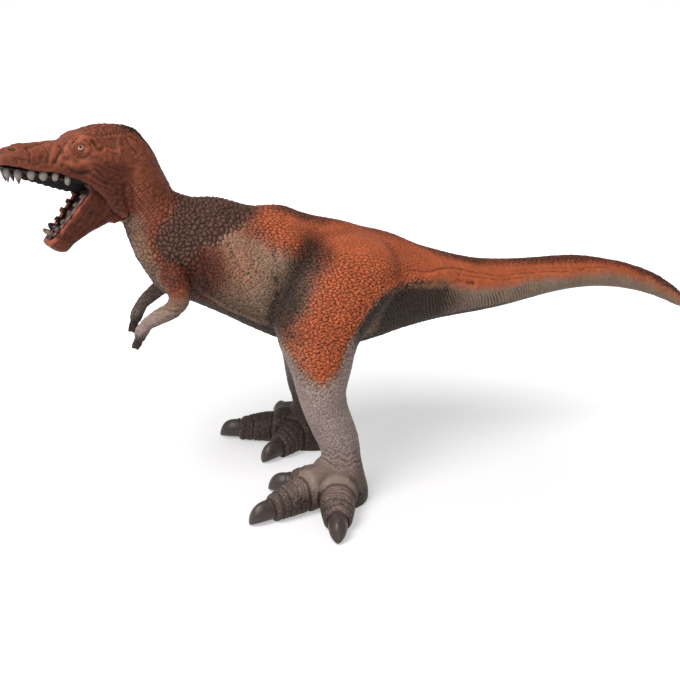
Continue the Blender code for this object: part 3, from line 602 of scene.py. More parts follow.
def use_group(tree, name, values=(), links=()):
    """Places a shared group with its own values, and gives its outputs."""
    node = tree.nodes.new("ShaderNodeGroup")
    node.node_tree = shared_group(name)
    for label, value in dict(values).items():
        node.inputs[label].default_value = (*value, 1.0) if isinstance(value, tuple) else value
    for label, source in dict(links).items():
        tree.links.new(source, node.inputs[label])
    return node.outputs


def new_material(name):
    """A material with its node tree and its shader."""
    material = bpy.data.materials.new(name)
    material.use_nodes = True
    return material, material.node_tree, material.node_tree.nodes["Principled BSDF"]


def connect_bump(tree, shader, height, strength, depth):
    """Feeds a height to the shader as fine bumps, a depth in millimetres high."""
    bump = place_node(tree, "ShaderNodeBump",
                      values={"Strength": strength, "Distance": depth * METRES},
                      links={"Height": height})
    tree.links.new(bump.outputs["Normal"], shader.inputs["Normal"])


# Materials

def skin_material(name, colours, grain_scale=620.0, grain=0.5):
    """Airbrushed soft vinyl: coats sprayed over the base by the masks stored on the mesh."""
    material, tree, shader = new_material(name)
    coats = (("tan", colours.tan, 0.9), ("orange", colours.orange, 0.7),
             ("rust", colours.rust, 0.5), ("deep", colours.deep, 0.6),
             ("brown", colours.brown, 0.6),
             ("grey", colours.grey, 0.6), ("foot", colours.foot, 0.5),
             ("dark", colours.dark, 0.8), ("lip", colours.lip, 0.5),
             ("mouth", colours.mouth, 0.2))
    paint = None
    for mask, colour, broken in coats:
        links = {"Mask": mask_node(tree, mask)}
        values = {"Coat": tuple(colour), "Break Up": broken}
        if paint is None:
            values["Base"] = tuple(colours.khaki)
        else:
            links["Base"] = paint
        paint = use_group(tree, "sprayed_coat", values, links)["Color"]
    # Dark paint and painted shade in the hollows, painted highlights on the high spots
    relief_shaded = use_group(tree, "relief_shade_and_highlight",
                     {"Hollow Paint And Shade Color": tuple(colours.hollow_paint_and_shade), "Mottle": 0.13, "Hollow Paint And Shade Depth": 0.84,
                      "Highlight Gain": 0.55},
                     {"Color": paint, "Hollow Paint And Shade": mask_node(tree, "hollow_paint_and_shade"),
                      "Highlight": mask_node(tree, "highlight")})
    tree.links.new(relief_shaded["Color"], shader.inputs["Base Color"])
    rough = math_node(tree, "SUBTRACT", 0.56, math_node(tree, "MULTIPLY", relief_shaded["Shine"], 0.10))
    tree.links.new(rough, shader.inputs["Roughness"])
    shader.inputs["Specular IOR Level"].default_value = 0.2
    height = use_group(tree, "skin_grain", {"Bump Scale": grain_scale})["Height"]
    connect_bump(tree, shader, height, grain, 0.25)
    return material


def tooth_material(name, colours):
    """Painted teeth: pale faces, dark tips, and painted shade on the side towards the mouth and at the gum."""
    material, tree, shader = new_material(name)
    streak = noise_node(tree, 700.0, 3.0, own_places(tree))
    pale = mix_node(tree, streak, tuple(colours.tooth), tuple(colours.tooth_shade))
    dark_tips_and_shade = use_group(tree, "sprayed_coat",
                       {"Coat": tuple(colours.dark), "Break Up": 0.5, "Speck Scale": 1400.0},
                       {"Base": pale, "Mask": mask_node(tree, "tip")})["Color"]
    tree.links.new(dark_tips_and_shade, shader.inputs["Base Color"])
    tree.links.new(math_node(tree, "MULTIPLY_ADD", streak, 0.2, 0.30), shader.inputs["Roughness"])
    connect_bump(tree, shader, streak, 0.25, 0.2)
    return material


def claw_material(name, colours):
    """Satin dark horn with long streaks, painted shade past the root and painted highlights along the top."""
    material, tree, shader = new_material(name)
    grid = own_places(tree)
    streak = noise_node(tree, 420.0, 4.0, grid)
    horn = mix_node(tree, streak, tuple(colours.claw), tuple(colours.claw_pale))
    relief_shaded = use_group(tree, "relief_shade_and_highlight",
                     {"Hollow Paint And Shade Color": tuple(colours.hollow_paint_and_shade), "Mottle": 0.2, "Highlight Gain": 0.8},
                     {"Color": horn, "Hollow Paint And Shade": mask_node(tree, "hollow_paint_and_shade"),
                      "Highlight": mask_node(tree, "highlight")})
    tree.links.new(relief_shaded["Color"], shader.inputs["Base Color"])
    tree.links.new(math_node(tree, "MULTIPLY_ADD", streak, 0.25, 0.28), shader.inputs["Roughness"])
    connect_bump(tree, shader, streak, 0.3, 0.3)
    return material


def eye_material(name, colours):
    """Glossy painted eye: pinkish white, a small dark pupil and a red corner."""
    material, tree, shader = new_material(name)
    grid = own_places(tree)
    cloud = noise_node(tree, 600.0, 3.0, grid)
    white = mix_node(tree, cloud, tuple(colours.eye), tuple(colours.eye_shade))
    gaze = mask_node(tree, "gaze")
    red = mix_node(tree, step_node(tree, mask_node(tree, "corner"), 0.15, 0.75), white,
                   tuple(colours.eye_red))
    dark = tuple(colours.mouth)
    iris = math_node(tree, "MULTIPLY", step_node(tree, gaze, 0.40, 0.46),
                     step_node(tree, gaze, 0.60, 0.54))
    ringed = mix_node(tree, math_node(tree, "MULTIPLY", iris, 0.8), red, dark)
    shaded = mix_node(tree, step_node(tree, gaze, 0.95, 1.15), ringed, dark)
    pupil = step_node(tree, gaze, 0.24, 0.17)
    tree.links.new(mix_node(tree, pupil, shaded, dark), shader.inputs["Base Color"])
    tree.links.new(math_node(tree, "MULTIPLY_ADD", cloud, 0.06, 0.12), shader.inputs["Roughness"])
    shader.inputs["Coat Weight"].default_value = 0.6
    return material


def steel_material(name):
    """Drawn steel wire with fine scratches along it."""
    material, tree, shader = new_material(name)
    grid = own_places(tree)
    scratch = noise_node(tree, 2200.0, 4.0, grid)
    tree.links.new(mix_node(tree, scratch, (0.45, 0.45, 0.46), (0.62, 0.62, 0.63)),
                   shader.inputs["Base Color"])
    tree.links.new(math_node(tree, "MULTIPLY_ADD", scratch, 0.2, 0.25), shader.inputs["Roughness"])
    shader.inputs["Metallic"].default_value = 1.0
    return material


# Settings that a user would change

def colour_property(name, description, colour):
    """A colour setting whose default is given as seen on a screen."""
    return bpy.props.FloatVectorProperty(name=name, description=description, subtype="COLOR",
                                         size=3, min=0.0, max=1.0, default=linear(*colour))


class DinosaurColours(bpy.types.PropertyGroup):
    khaki: colour_property("Flank", "Bare vinyl of the flanks", (142, 114, 94))
    orange: colour_property("Hips", "Orange sprayed on hips and tail", (174, 88, 54))
    rust: colour_property("Head", "Rust sprayed on head and neck", (130, 70, 49))
    # Also painted shade under the cheek fold and in the fold at the shoulder
    deep: colour_property("Cheeks", "Deep rust of cheeks and upper arms", (74, 33, 22))
    brown: colour_property("Shoulders", "Dark brown of the shoulder pebbles", (82, 55, 45))
    grey: colour_property("Legs", "Mauve grey of shins and forearms", (150, 131, 126))
    foot: colour_property("Feet", "Brown grey of feet and lower gums", (134, 114, 104))
    dark: colour_property("Stripe", "Near black of stripe and shadows", (32, 23, 18))
    tan: colour_property("Under the tail", "Grey tan of tail and forearms", (134, 114, 98))
    lip: colour_property("Lip rim", "Red orange rim of the lower jaw", (176, 86, 64))
    # Also painted shade on the upper gums, the palate and the walls of the jaw's slot
    mouth: colour_property("Mouth", "Near black of mouth and pupils", (14, 11, 11))
    # Dark paint and painted shade in the hollows of the relief
    hollow_paint_and_shade: colour_property("Hollow Paint And Shade", "Thin dark paint left in the hollows", (28, 17, 12))
    tooth: colour_property("Teeth", "Pale face of the teeth", (178, 164, 156))
    tooth_shade: colour_property("Tooth shade", "Darker streaks of the teeth", (120, 112, 108))
    claw: colour_property("Claws", "Dark horn of the claws", (46, 36, 34))
    claw_pale: colour_property("Claw streaks", "Paler streaks of the claws", (78, 63, 58))
    eye: colour_property("Eye", "Pinkish white of the eye", (232, 192, 160))
    eye_shade: colour_property("Eye shade", "Pinker part of the eye", (200, 118, 88))
    eye_red: colour_property("Eye corner", "Red corner of the eye", (190, 44, 36))


class DinosaurSizes(bpy.types.PropertyGroup):
    voxel: bpy.props.FloatProperty(
        name="Skin mesh", description="Edge length of the sculpted body's faces, in millimetres",
        default=0.72, min=0.6, max=3.0)
    fine_voxel: bpy.props.FloatProperty(
        name="Fine mesh", description="Edge length of faces on jaw and arms, in millimetres",
        default=0.65, min=0.4, max=2.0)
    shoulder_pebble: bpy.props.FloatProperty(
        name="Shoulder pebbles", description="Width of the largest pebbles, in millimetres",
        default=3.1, min=2.0, max=10.0)
    hip_pebble: bpy.props.FloatProperty(
        name="Hip pebbles", description="Width of the hip's pebbles, in millimetres",
        default=1.8, min=1.2, max=8.0)
    relief: bpy.props.FloatProperty(
        name="Relief", description="Height of all skin relief against the sculpted one",
        default=1.0, min=0.0, max=2.0)


class DinosaurStage(bpy.types.PropertyGroup):
    floor: colour_property("Floor", "Colour of the plain pale floor", (214, 212, 212))
    key_power: bpy.props.FloatProperty(
        name="Key light", description="Power of the large soft lamp", default=17.5, min=0.0,
        unit="POWER")
    fill: bpy.props.FloatProperty(
        name="Fill light", description="Strength of the plain light from all round",
        default=0.40, min=0.0, max=2.0)
    camera_place: bpy.props.FloatVectorProperty(
        name="Camera", description="Place of the camera", subtype="TRANSLATION", unit="LENGTH",
        default=(-0.1992, MIDDLE * METRES - 0.6354, 0.3339))
    camera_target: bpy.props.FloatVectorProperty(
        name="Target", description="Place that the camera looks at", subtype="TRANSLATION",
        unit="LENGTH", default=(-0.029, MIDDLE * METRES, 0.0945))
    lens: bpy.props.FloatProperty(
        name="Lens", description="Focal length on a 36 mm sensor", default=52.94, min=10.0)


# Body skin

# Rods at the shoulder joints: radius, and reach inwards and outwards from the joint
FILL_RADIUS = 10.2
FILL_DEPTH = 11.0
FILL_PROUD = 4.2

# Rounds in which the CAD facets are smoothed, and more of them on the thighs
CASTING_ROUNDS = 36
THIGH_ROUNDS = 90

# Grooves on the head, and ridges where the depth is below zero: width, depth, path
HEAD_CREASES = (
    (1.3, -0.80, ((36.5, 243.6), (31.7, 245.6), (27.5, 245.5), (24.2, 243.8))),
    (1.3, 1.30, ((26.4, 243.2), (24.2, 238.7), (21.2, 237.7))),
    (0.8, 0.70, ((17.8, 245.8), (11.9, 245.6), (5.9, 245.4), (2.2, 243.6), (-3.6, 239.4))),
    (1.6, -0.60, ((8.2, 243.8), (10.2, 235.3))),
    (1.1, 0.45, ((4.0, 242.0), (1.8, 237.5), (-0.6, 233.6))),
    (0.7, 0.80, ((50.6, 242.6), (56.9, 242.0), (63.1, 241.2), (62.3, 238.2), (63.2, 233.5))),
    (0.9, 1.00, ((43.4, 241.0), (45.4, 236.5), (47.6, 232.6))),
    (1.3, -0.70, ((46.4, 241.4), (48.8, 236.5), (51.0, 232.0))),
    (2.0, -0.80, ((46.0, 233.4), (41.1, 230.6), (36.0, 229.6), (30.0, 230.4))),
    (1.5, 1.00, ((44.0, 230.0), (38.6, 226.0), (34.0, 224.6), (30.4, 225.0))),
    (0.55, 0.50, ((30.1, 225.8), (25.9, 222.4), (18.6, 217.9), (11.5, 215.6))),
    (0.55, 0.45, ((28.8, 223.4), (23.2, 219.1), (15.6, 215.3))),
    (0.55, 0.40, ((18.6, 227.8), (11.6, 224.1))),
    (0.55, 0.45, ((25.7, 226.2), (20.7, 221.2), (14.0, 218.6))),
    (0.50, 0.35, ((27.4, 229.6), (20.3, 226.4), (13.0, 221.6))),
    (0.50, 0.35, ((30.2, 220.8), (24.0, 216.6), (18.0, 213.6))),
    (1.8, 1.20, ((9.5, 214.6), (8.7, 206.6), (6.0, 193.4), (2.7, 183.4))),
    (0.7, 0.45, ((71.0, 236.6), (66.0, 235.2), (60.0, 234.0))),
    (0.7, 0.45, ((57.5, 239.5), (56.0, 236.0), (57.0, 233.4))),
    (0.7, 0.40, ((53.0, 240.5), (51.6, 236.6), (53.0, 234.0))),
    (0.7, 0.50, ((40.2, 243.2), (42.6, 240.4), (43.4, 237.0))),
    (0.6, 0.45, ((36.1, 236.6), (33.4, 235.3), (29.9, 236.2))),
    (0.6, 0.40, ((35.6, 234.3), (32.3, 233.4), (28.5, 235.4))),
    (0.6, 0.35, ((17.0, 239.6), (12.6, 238.0))),
    (0.6, 0.35, ((17.6, 236.6), (12.0, 234.6))),
    (0.6, 0.35, ((3.4, 229.8), (-4.0, 227.6))),
)
# Swellings of the head, and hollows where the height is below zero: middle, radii, height
HEAD_SWELLS = (((38.0, 229.6), (9.0, 3.6), 0.6), ((14.0, 240.6), (6.0, 3.6), -0.7),
               ((17.0, 206.0), (9.0, 9.0), 0.8), ((56.0, 229.4), (10.0, 2.4), 0.5),
               ((70.5, 241.4), (1.7, 1.0), -1.6), ((67.0, 243.0), (5.0, 1.6), 0.4),
               ((33.2, 239.4), (8.0, 6.4), 0.3),
               ((69.0, 244.0), (4.0, 2.0), 0.7))
# The dip across the skull between the brows and the snout
BROW_SADDLE = ((41.5, 246.0), (6.5, 4.5), -1.4)
# The edge of the upper lip, how far the skin is raised there, and where that ends over the lip
LIPS = ((24.0, 214.0), (29.0, 216.0), (37.0, 218.0), (46.0, 220.9), (57.7, 225.0),
        (69.0, 228.6), (80.0, 230.9))
LIP_RAISE = ((30.0, 0.0), (39.0, 1.8), (46.0, 3.6), (56.0, 2.9), (70.0, 2.2), (80.0, 1.2))
LIP_REACH = 10.0
# The eye's middle, and the radius of the groove round it
EYE_MIDDLE = (33.2, 239.4)
EYE_RING = 5.6

# Soft folds of the body in the side view: width, depth, path
BODY_CREASES = (
    (2.4, 0.60, ((-108.5, 176.1), (-106.9, 169.1), (-104.4, 161.7), (-100.3, 157.9),
                 (-95.2, 159.0))),
    (2.2, 0.55, ((-103.9, 156.5), (-103.2, 149.5), (-100.3, 141.2))),
    (2.8, 1.00, ((-81.2, 172.9), (-80.7, 165.6), (-80.1, 154.4), (-81.9, 144.1), (-84.0, 130.0))),
    (1.8, 0.40, ((-95.3, 168.2), (-94.2, 162.5))),
    (1.8, 0.80, ((-125.0, 178.0), (-126.0, 168.0), (-125.0, 158.0), (-121.0, 150.0))),
    (1.8, -1.30, ((-131.6, 152.1), (-127.3, 147.7), (-121.7, 143.5), (-110.8, 133.5),
                  (-96.5, 127.0), (-85.8, 122.9))),
    (1.6, 1.10, ((-131.2, 145.4), (-121.0, 137.0), (-106.4, 127.9), (-91.5, 118.6),
                 (-82.3, 116.4))),
    (2.2, 1.10, ((-14.0, 138.0), (-2.0, 141.0), (14.0, 141.0), (43.0, 137.5), (60.0, 134.0))),
    (2.2, -0.60, ((-10.0, 142.5), (-2.0, 145.5), (14.0, 145.5), (40.0, 142.0))),
    (1.2, 0.40, ((22.0, 147.0), (48.0, 144.5), (76.0, 138.0), (110.0, 136.5), (150.0, 135.0))),
    (1.0, 0.30, ((50.0, 140.5), (76.0, 135.5), (100.0, 134.0))),
    (1.0, 0.30, ((90.0, 139.0), (130.0, 138.0), (170.0, 134.5))),
)
# Borders of the coats in the side view: fronts are (height, along), floors are (along, height)
ORANGE_FRONT = ((60.0, -64.0), (92.2, -65.7), (100.3, -71.5), (108.2, -74.2), (115.6, -74.9),
                (123.3, -73.5), (131.4, -69.9), (139.3, -63.2), (146.7, -58.5), (153.7, -56.7),
                (160.6, -56.0), (167.7, -66.0), (175.4, -80.0), (183.4, -90.0), (188.4, -93.0),
                (202.0, -98.0))
ORANGE_FLOOR = ((-90.0, 126.0), (-80.0, 116.0), (-72.0, 100.0), (-65.7, 92.2), (-58.7, 88.7),
                (-51.7, 93.6), (-45.9, 99.8), (-42.1, 107.5), (-38.5, 114.8), (-33.1, 120.6),
                (-27.6, 128.3), (-20.1, 136.2), (-12.1, 141.0), (4.0, 141.0), (17.9, 140.4),
                (40.4, 137.2), (50.8, 132.8), (62.9, 130.0), (78.0, 129.1), (93.2, 129.8),
                (108.5, 131.9), (139.1, 131.3), (167.8, 131.5), (187.4, 127.7), (204.3, 120.8),
                (222.3, 110.5), (245.0, 96.0))
STRIPE_FLOOR = ((-140.0, 230.0), (-84.0, 194.0), (-68.6, 188.0), (-61.1, 186.0), (-53.6, 182.8),
                (-45.2, 180.7), (-33.1, 178.7), (-24.4, 176.8), (-14.6, 174.4), (-6.3, 171.3),
                (6.9, 166.4), (21.1, 161.2), (38.0, 153.9), (52.5, 149.3), (66.6, 144.7),
                (81.7, 143.5), (96.5, 142.4), (125.9, 141.3), (140.9, 140.8), (156.6, 139.8),
                (172.7, 137.0), (188.7, 132.6), (204.8, 125.3), (222.2, 115.0), (245.0, 100.0))
BROWN_FLOOR = ((-160.0, 200.0), (-155.0, 177.0), (-151.0, 170.0), (-147.0, 165.0),
               (-138.0, 163.0), (-131.0, 170.0), (-126.4, 179.6), (-118.4, 176.6),
               (-113.7, 180.4), (-109.0, 183.2), (-103.4, 185.1), (-97.7, 186.9), (-88.4, 189.3),
               (-80.2, 190.8), (-68.0, 191.5), (-60.0, 197.0), (-40.0, 206.0))
BROWN_FRONT = ((160.0, -149.0), (168.0, -153.5), (177.4, -155.2), (180.5, -153.6), (186.1, -151.2),
               (189.3, -149.4), (193.0, -146.9), (195.8, -144.6), (199.8, -141.2), (206.0, -138.0),
               (214.0, -136.0))
# The large shoulder pebbles lie above this line
PEBBLE_FLOOR = ((-170.0, 190.0), (-159.5, 183.0), (-157.8, 176.9), (-155.7, 166.6),
                (-153.8, 161.9), (-150.2, 158.5), (-140.3, 155.4), (-131.6, 156.4),
                (-128.0, 168.0), (-126.0, 177.0), (-118.4, 175.6), (-113.7, 179.4),
                (-109.0, 182.2), (-103.4, 184.1), (-97.7, 185.9), (-88.4, 188.3),
                (-80.2, 189.8), (-68.0, 191.0), (-60.0, 197.0), (-40.0, 206.0))
# The pale throat lies ahead of this line of (height, along)
THROAT_FRONT = ((140.0, -147.0), (151.0, -149.0), (157.0, -152.0), (165.0, -155.0),
                (174.0, -157.5), (185.0, -159.5), (196.0, -161.0), (210.0, -164.0))
# The ridge under the flank; the flank darkens towards it
BELLY_RIDGE = ((-131.6, 152.1), (-121.7, 143.5), (-110.8, 133.5), (-85.8, 122.9))
# Swellings along the back: middle, radii, height
BACK_SWELLS = (((-110.0, 199.0), (10.0, 6.0), 1.2), ((-71.0, 191.0), (12.0, 6.0), 1.8),
               ((-30.0, 182.0), (24.0, 7.0), 1.6), ((10.0, 168.0), (26.0, 6.0), 1.8))
# The dark airbrushed band between flank and hip
AIRBRUSH = ((-56.0, 170.0), (-62.6, 163.3), (-66.8, 156.9), (-72.3, 149.5), (-76.5, 141.3),
            (-79.9, 132.0), (-81.7, 125.2))
# The neck scutes lie between these borders: height, then millimetres ahead of the pivot
SCUTES_AHEAD = ((181.1, -0.3), (192.5, 2.4), (206.2, 6.0), (217.6, 8.4))
SCUTES_BACK = ((193.3, -10.5), (197.3, -9.5), (205.2, -7.4), (216.7, -1.3))
NECK_LEAN = math.radians(32.0)
SCUTE_WIDTH = 3.4
SCUTE_LENGTH = 1.9
# Widths of the small pebbles of chest, back and flank
CHEST_PEBBLE = 3.0
FLANK_PEBBLE = 1.9
# The hip's pebbles are stretched by this much along x, y and z
HIP_STRETCH = (1.55, 1.15, 0.92)
# From one ring wrinkle to the next, on toes and under the tail, and on the ankles
RING_PITCH = 2.3
ANKLE_PITCH = 4.0
# Deep grooves across a toe: share of its length and depth
TOE_GROOVES = ((0.68, 0.28), (0.80, 0.60), (0.91, 0.35))
# The mouth's width is taken in steps from its rear to its front
MOUTH_START = 20.0
MOUTH_STEP = 2.5
MOUTH_STEPS = 25
CLAW_NODES = {"left": ("claw_left_inner", "claw_left_middle", "claw_left_outer"),
              "right": ("claw_right_inner", "claw_right_middle", "claw_right_outer")}


def shoulder_fills():
    """Rods that close the arm pockets, so that the skin runs on under the arms."""
    fills = []
    for name in ("left_shoulder", "right_shoulder"):
        seat = Vector(JOINTS[name]["pos_m"])
        out = Vector((0.0, math.copysign(METRES, seat.y - MIDDLE * METRES), 0.0))
        fills.append((seat - out * FILL_DEPTH, seat + out * FILL_PROUD, FILL_RADIUS * METRES))
    return fills


def nearest_nodes(skin):
    """The index in SKIN_NODES of the CAD node that each vertex lies nearest to."""
    corners = []
    polygons = []
    owners = []
    for index, node in enumerate(SKIN_NODES.values()):
        mesh = frame["nodes"][node].data
        base = len(corners)
        corners += [vertex.co / METRES for vertex in mesh.vertices]
        polygons += [[base + corner for corner in face.vertices] for face in mesh.polygons]
        owners += [index] * len(mesh.polygons)
    tree = BVHTree.FromPolygons(corners, polygons)
    found = [tree.find_nearest(place)[2] for place in skin.places.tolist()]
    return np.array(owners)[np.array(found)]


def smooth_casting(skin, owner):
    """Takes the CAD facets out: strongly on the body, lightly on the head, least at its lips."""
    head = skin.in_head()
    is_head = (owner == HEAD).astype(float)
    neck = fade(2.0, -12.0, head[:, 0])
    share = np.where(is_head > 0.5, 0.10 + 0.5 * neck, 0.8)
    toes = fade(34.0, 22.0, skin.places[:, 2])
    share = share * (1.0 - 0.55 * toes)
    share = share * (1.0 - 0.6 * fade(200.0, 240.0, skin.places[:, 0]))
    share = skin.relaxed(share, 6)
    skin.places = skin.relaxed(skin.places, CASTING_ROUNDS, share)
    thigh = spot(skin.places[:, [0, 2]], (2.0, 158.0), (34.0, 30.0), 0.5)
    skin.places = skin.relaxed(skin.places, THIGH_ROUNDS, 0.85 * thigh * (1.0 - is_head))


def shape_head(skin, is_head, relief):
    """Raised lip, brow, fossa, muzzle and cheek folds, the same on both sides."""
    head = skin.in_head()
    above_lip = head[:, 2] - level(LIPS, head[:, 0])
    raised = level(LIP_RAISE, head[:, 0]) * fade(28.0, 32.0, head[:, 0])
    near_lip = np.clip(1.0 - above_lip / LIP_REACH, 0.0, 1.0) * fade(-4.0, -2.0, above_lip)
    skin.places[:, 2] += raised * near_lip * is_head
    head = skin.in_head()
    flat = head[:, [0, 2]]
    outer = fade(1.5, 4.0, np.abs(head[:, 1])) * is_head
    before = skin.relief.copy()
    wander = np.stack([ripple(skin.places, 6.0, 21), ripple(skin.places, 6.0, 22)], axis=1)
    skin.press(flat + wander * 0.8, HEAD_CREASES)
    for centre, radii, height in HEAD_SWELLS:
        skin.relief += height * spot(flat, centre, radii, soft=0.5)
    ring = np.hypot(flat[:, 0] - EYE_MIDDLE[0], (flat[:, 1] - EYE_MIDDLE[1]) * 1.15)
    skin.relief -= 0.4 * np.exp(-((ring - EYE_RING) / 0.8) ** 2)
    skin.relief = before + (skin.relief - before) * outer * relief
    centre, radii, height = BROW_SADDLE
    skin.relief += height * spot(flat, centre, radii, soft=0.7) * is_head
    rough = 0.20 * ripple(skin.places, 1.9, 3) + 0.26 * ripple(skin.places, 4.0, 4) \
        + 0.30 * ripple(skin.places, 8.0, 5)
    crown = fade(241.0, 246.0, head[:, 2]) * fade(32.0, 22.0, head[:, 0])
    edge, _ = pebbles(skin.places, 3.0, salt=40)
    skin.relief += is_head * relief * (rough + crown * 0.9 * (bead(edge, 0.6) - 0.5))


def neck_frame(skin):
    """Places along and across the neck in the side view."""
    cosine, sine = math.cos(NECK_LEAN), math.sin(NECK_LEAN)
    along = skin.places[:, 2] * cosine - skin.places[:, 0] * sine
    across = skin.places[:, 0] * cosine + skin.places[:, 2] * sine
    return along, across


def scutes(skin):
    """Columns of small flat scutes along the neck: 0 in their joints and 1 on top."""
    along, across = neck_frame(skin)
    column = (across + 0.8 * ripple(skin.places, 8.0, 31)) / SCUTE_WIDTH
    stagger = np.floor(column) * 0.5
    row = (along + 0.7 * ripple(skin.places, 6.0, 32)) / SCUTE_LENGTH + stagger
    sideways = np.abs(column - np.floor(column) - 0.5) * 2.0
    upright = np.abs(row - np.floor(row) - 0.5) * 2.0
    return 1.0 - np.maximum(fade(0.62, 1.0, sideways), fade(0.50, 1.0, upright))


def claw_line(word, node):
    """The direction of a toe from its ankle, and how far along it the claw's root lies."""
    places, _ = node_places(node)
    ankle = np.array(MOUNTS[word + "_sole"]["pos_m"]) / METRES
    ahead = (places - ankle).mean(axis=0)
    ahead[2] = 0.0
    ahead /= np.linalg.norm(ahead)
    return ankle, ahead, ((places - ankle) @ ahead).min()


def foot_rings(skin, owner):
    """Ring wrinkles on the toes, the lips at their roots and the folds round the claws."""
    total = np.zeros(len(skin.places))
    for word, label in (("left", LEFT_LEG), ("right", RIGHT_LEG)):
        best = np.full(len(skin.places), -1e9)
        reach = np.zeros(len(skin.places))
        length = np.ones(len(skin.places))
        for node in CLAW_NODES[word]:
            ankle, direction, root = claw_line(word, node)
            offset = skin.places - ankle
            ahead = offset @ direction
            aside = np.abs(offset @ np.array((direction[1], -direction[0], 0.0)))
            score = ahead - aside * 1.4
            closer = score > best
            best = np.where(closer, score, best)
            reach = np.where(closer, ahead, reach)
            length = np.where(closer, root + 4.0, length)
        share = reach / length
        bend = ripple(skin.places, 6.0, 51) + 0.4 * ripple(skin.places, 2.5, 52)
        waves = 0.5 + 0.5 * np.cos(math.tau * (reach + 1.6 * bend) / RING_PITCH)
        faint = 0.26 * (0.6 + 0.6 * ripple(skin.places, 9.0, 53))
        rings = -faint * waves ** 2 * fade(0.54, 0.60, share) * fade(0.96, 0.90, share)
        for place, depth in TOE_GROOVES:
            rings -= depth * np.exp(-(((share - place) * length + 1.3 * bend) / 0.75) ** 2)
        rings += 0.45 * np.exp(-((share - 0.965) * length / 1.5) ** 2)
        lip = 0.4 * np.exp(-((share - 0.46) * length / 2.4) ** 2)
        lip -= 1.0 * np.exp(-(((share - 0.53) * length + 0.5 * bend) / 0.85) ** 2)
        low = fade(36.0, 27.0, skin.places[:, 2])
        height = skin.places[:, 2] + 2.0 * bend
        ankle_rings = -0.28 * (0.5 + 0.5 * np.cos(math.tau * height / ANKLE_PITCH)) ** 2
        ankle_rings *= fade(26.0, 32.0, skin.places[:, 2]) * fade(46.0, 38.0, skin.places[:, 2])
        total += (owner == label) * (low * fade(2.0, 6.0, reach) * (rings + lip) + ankle_rings)
    return total


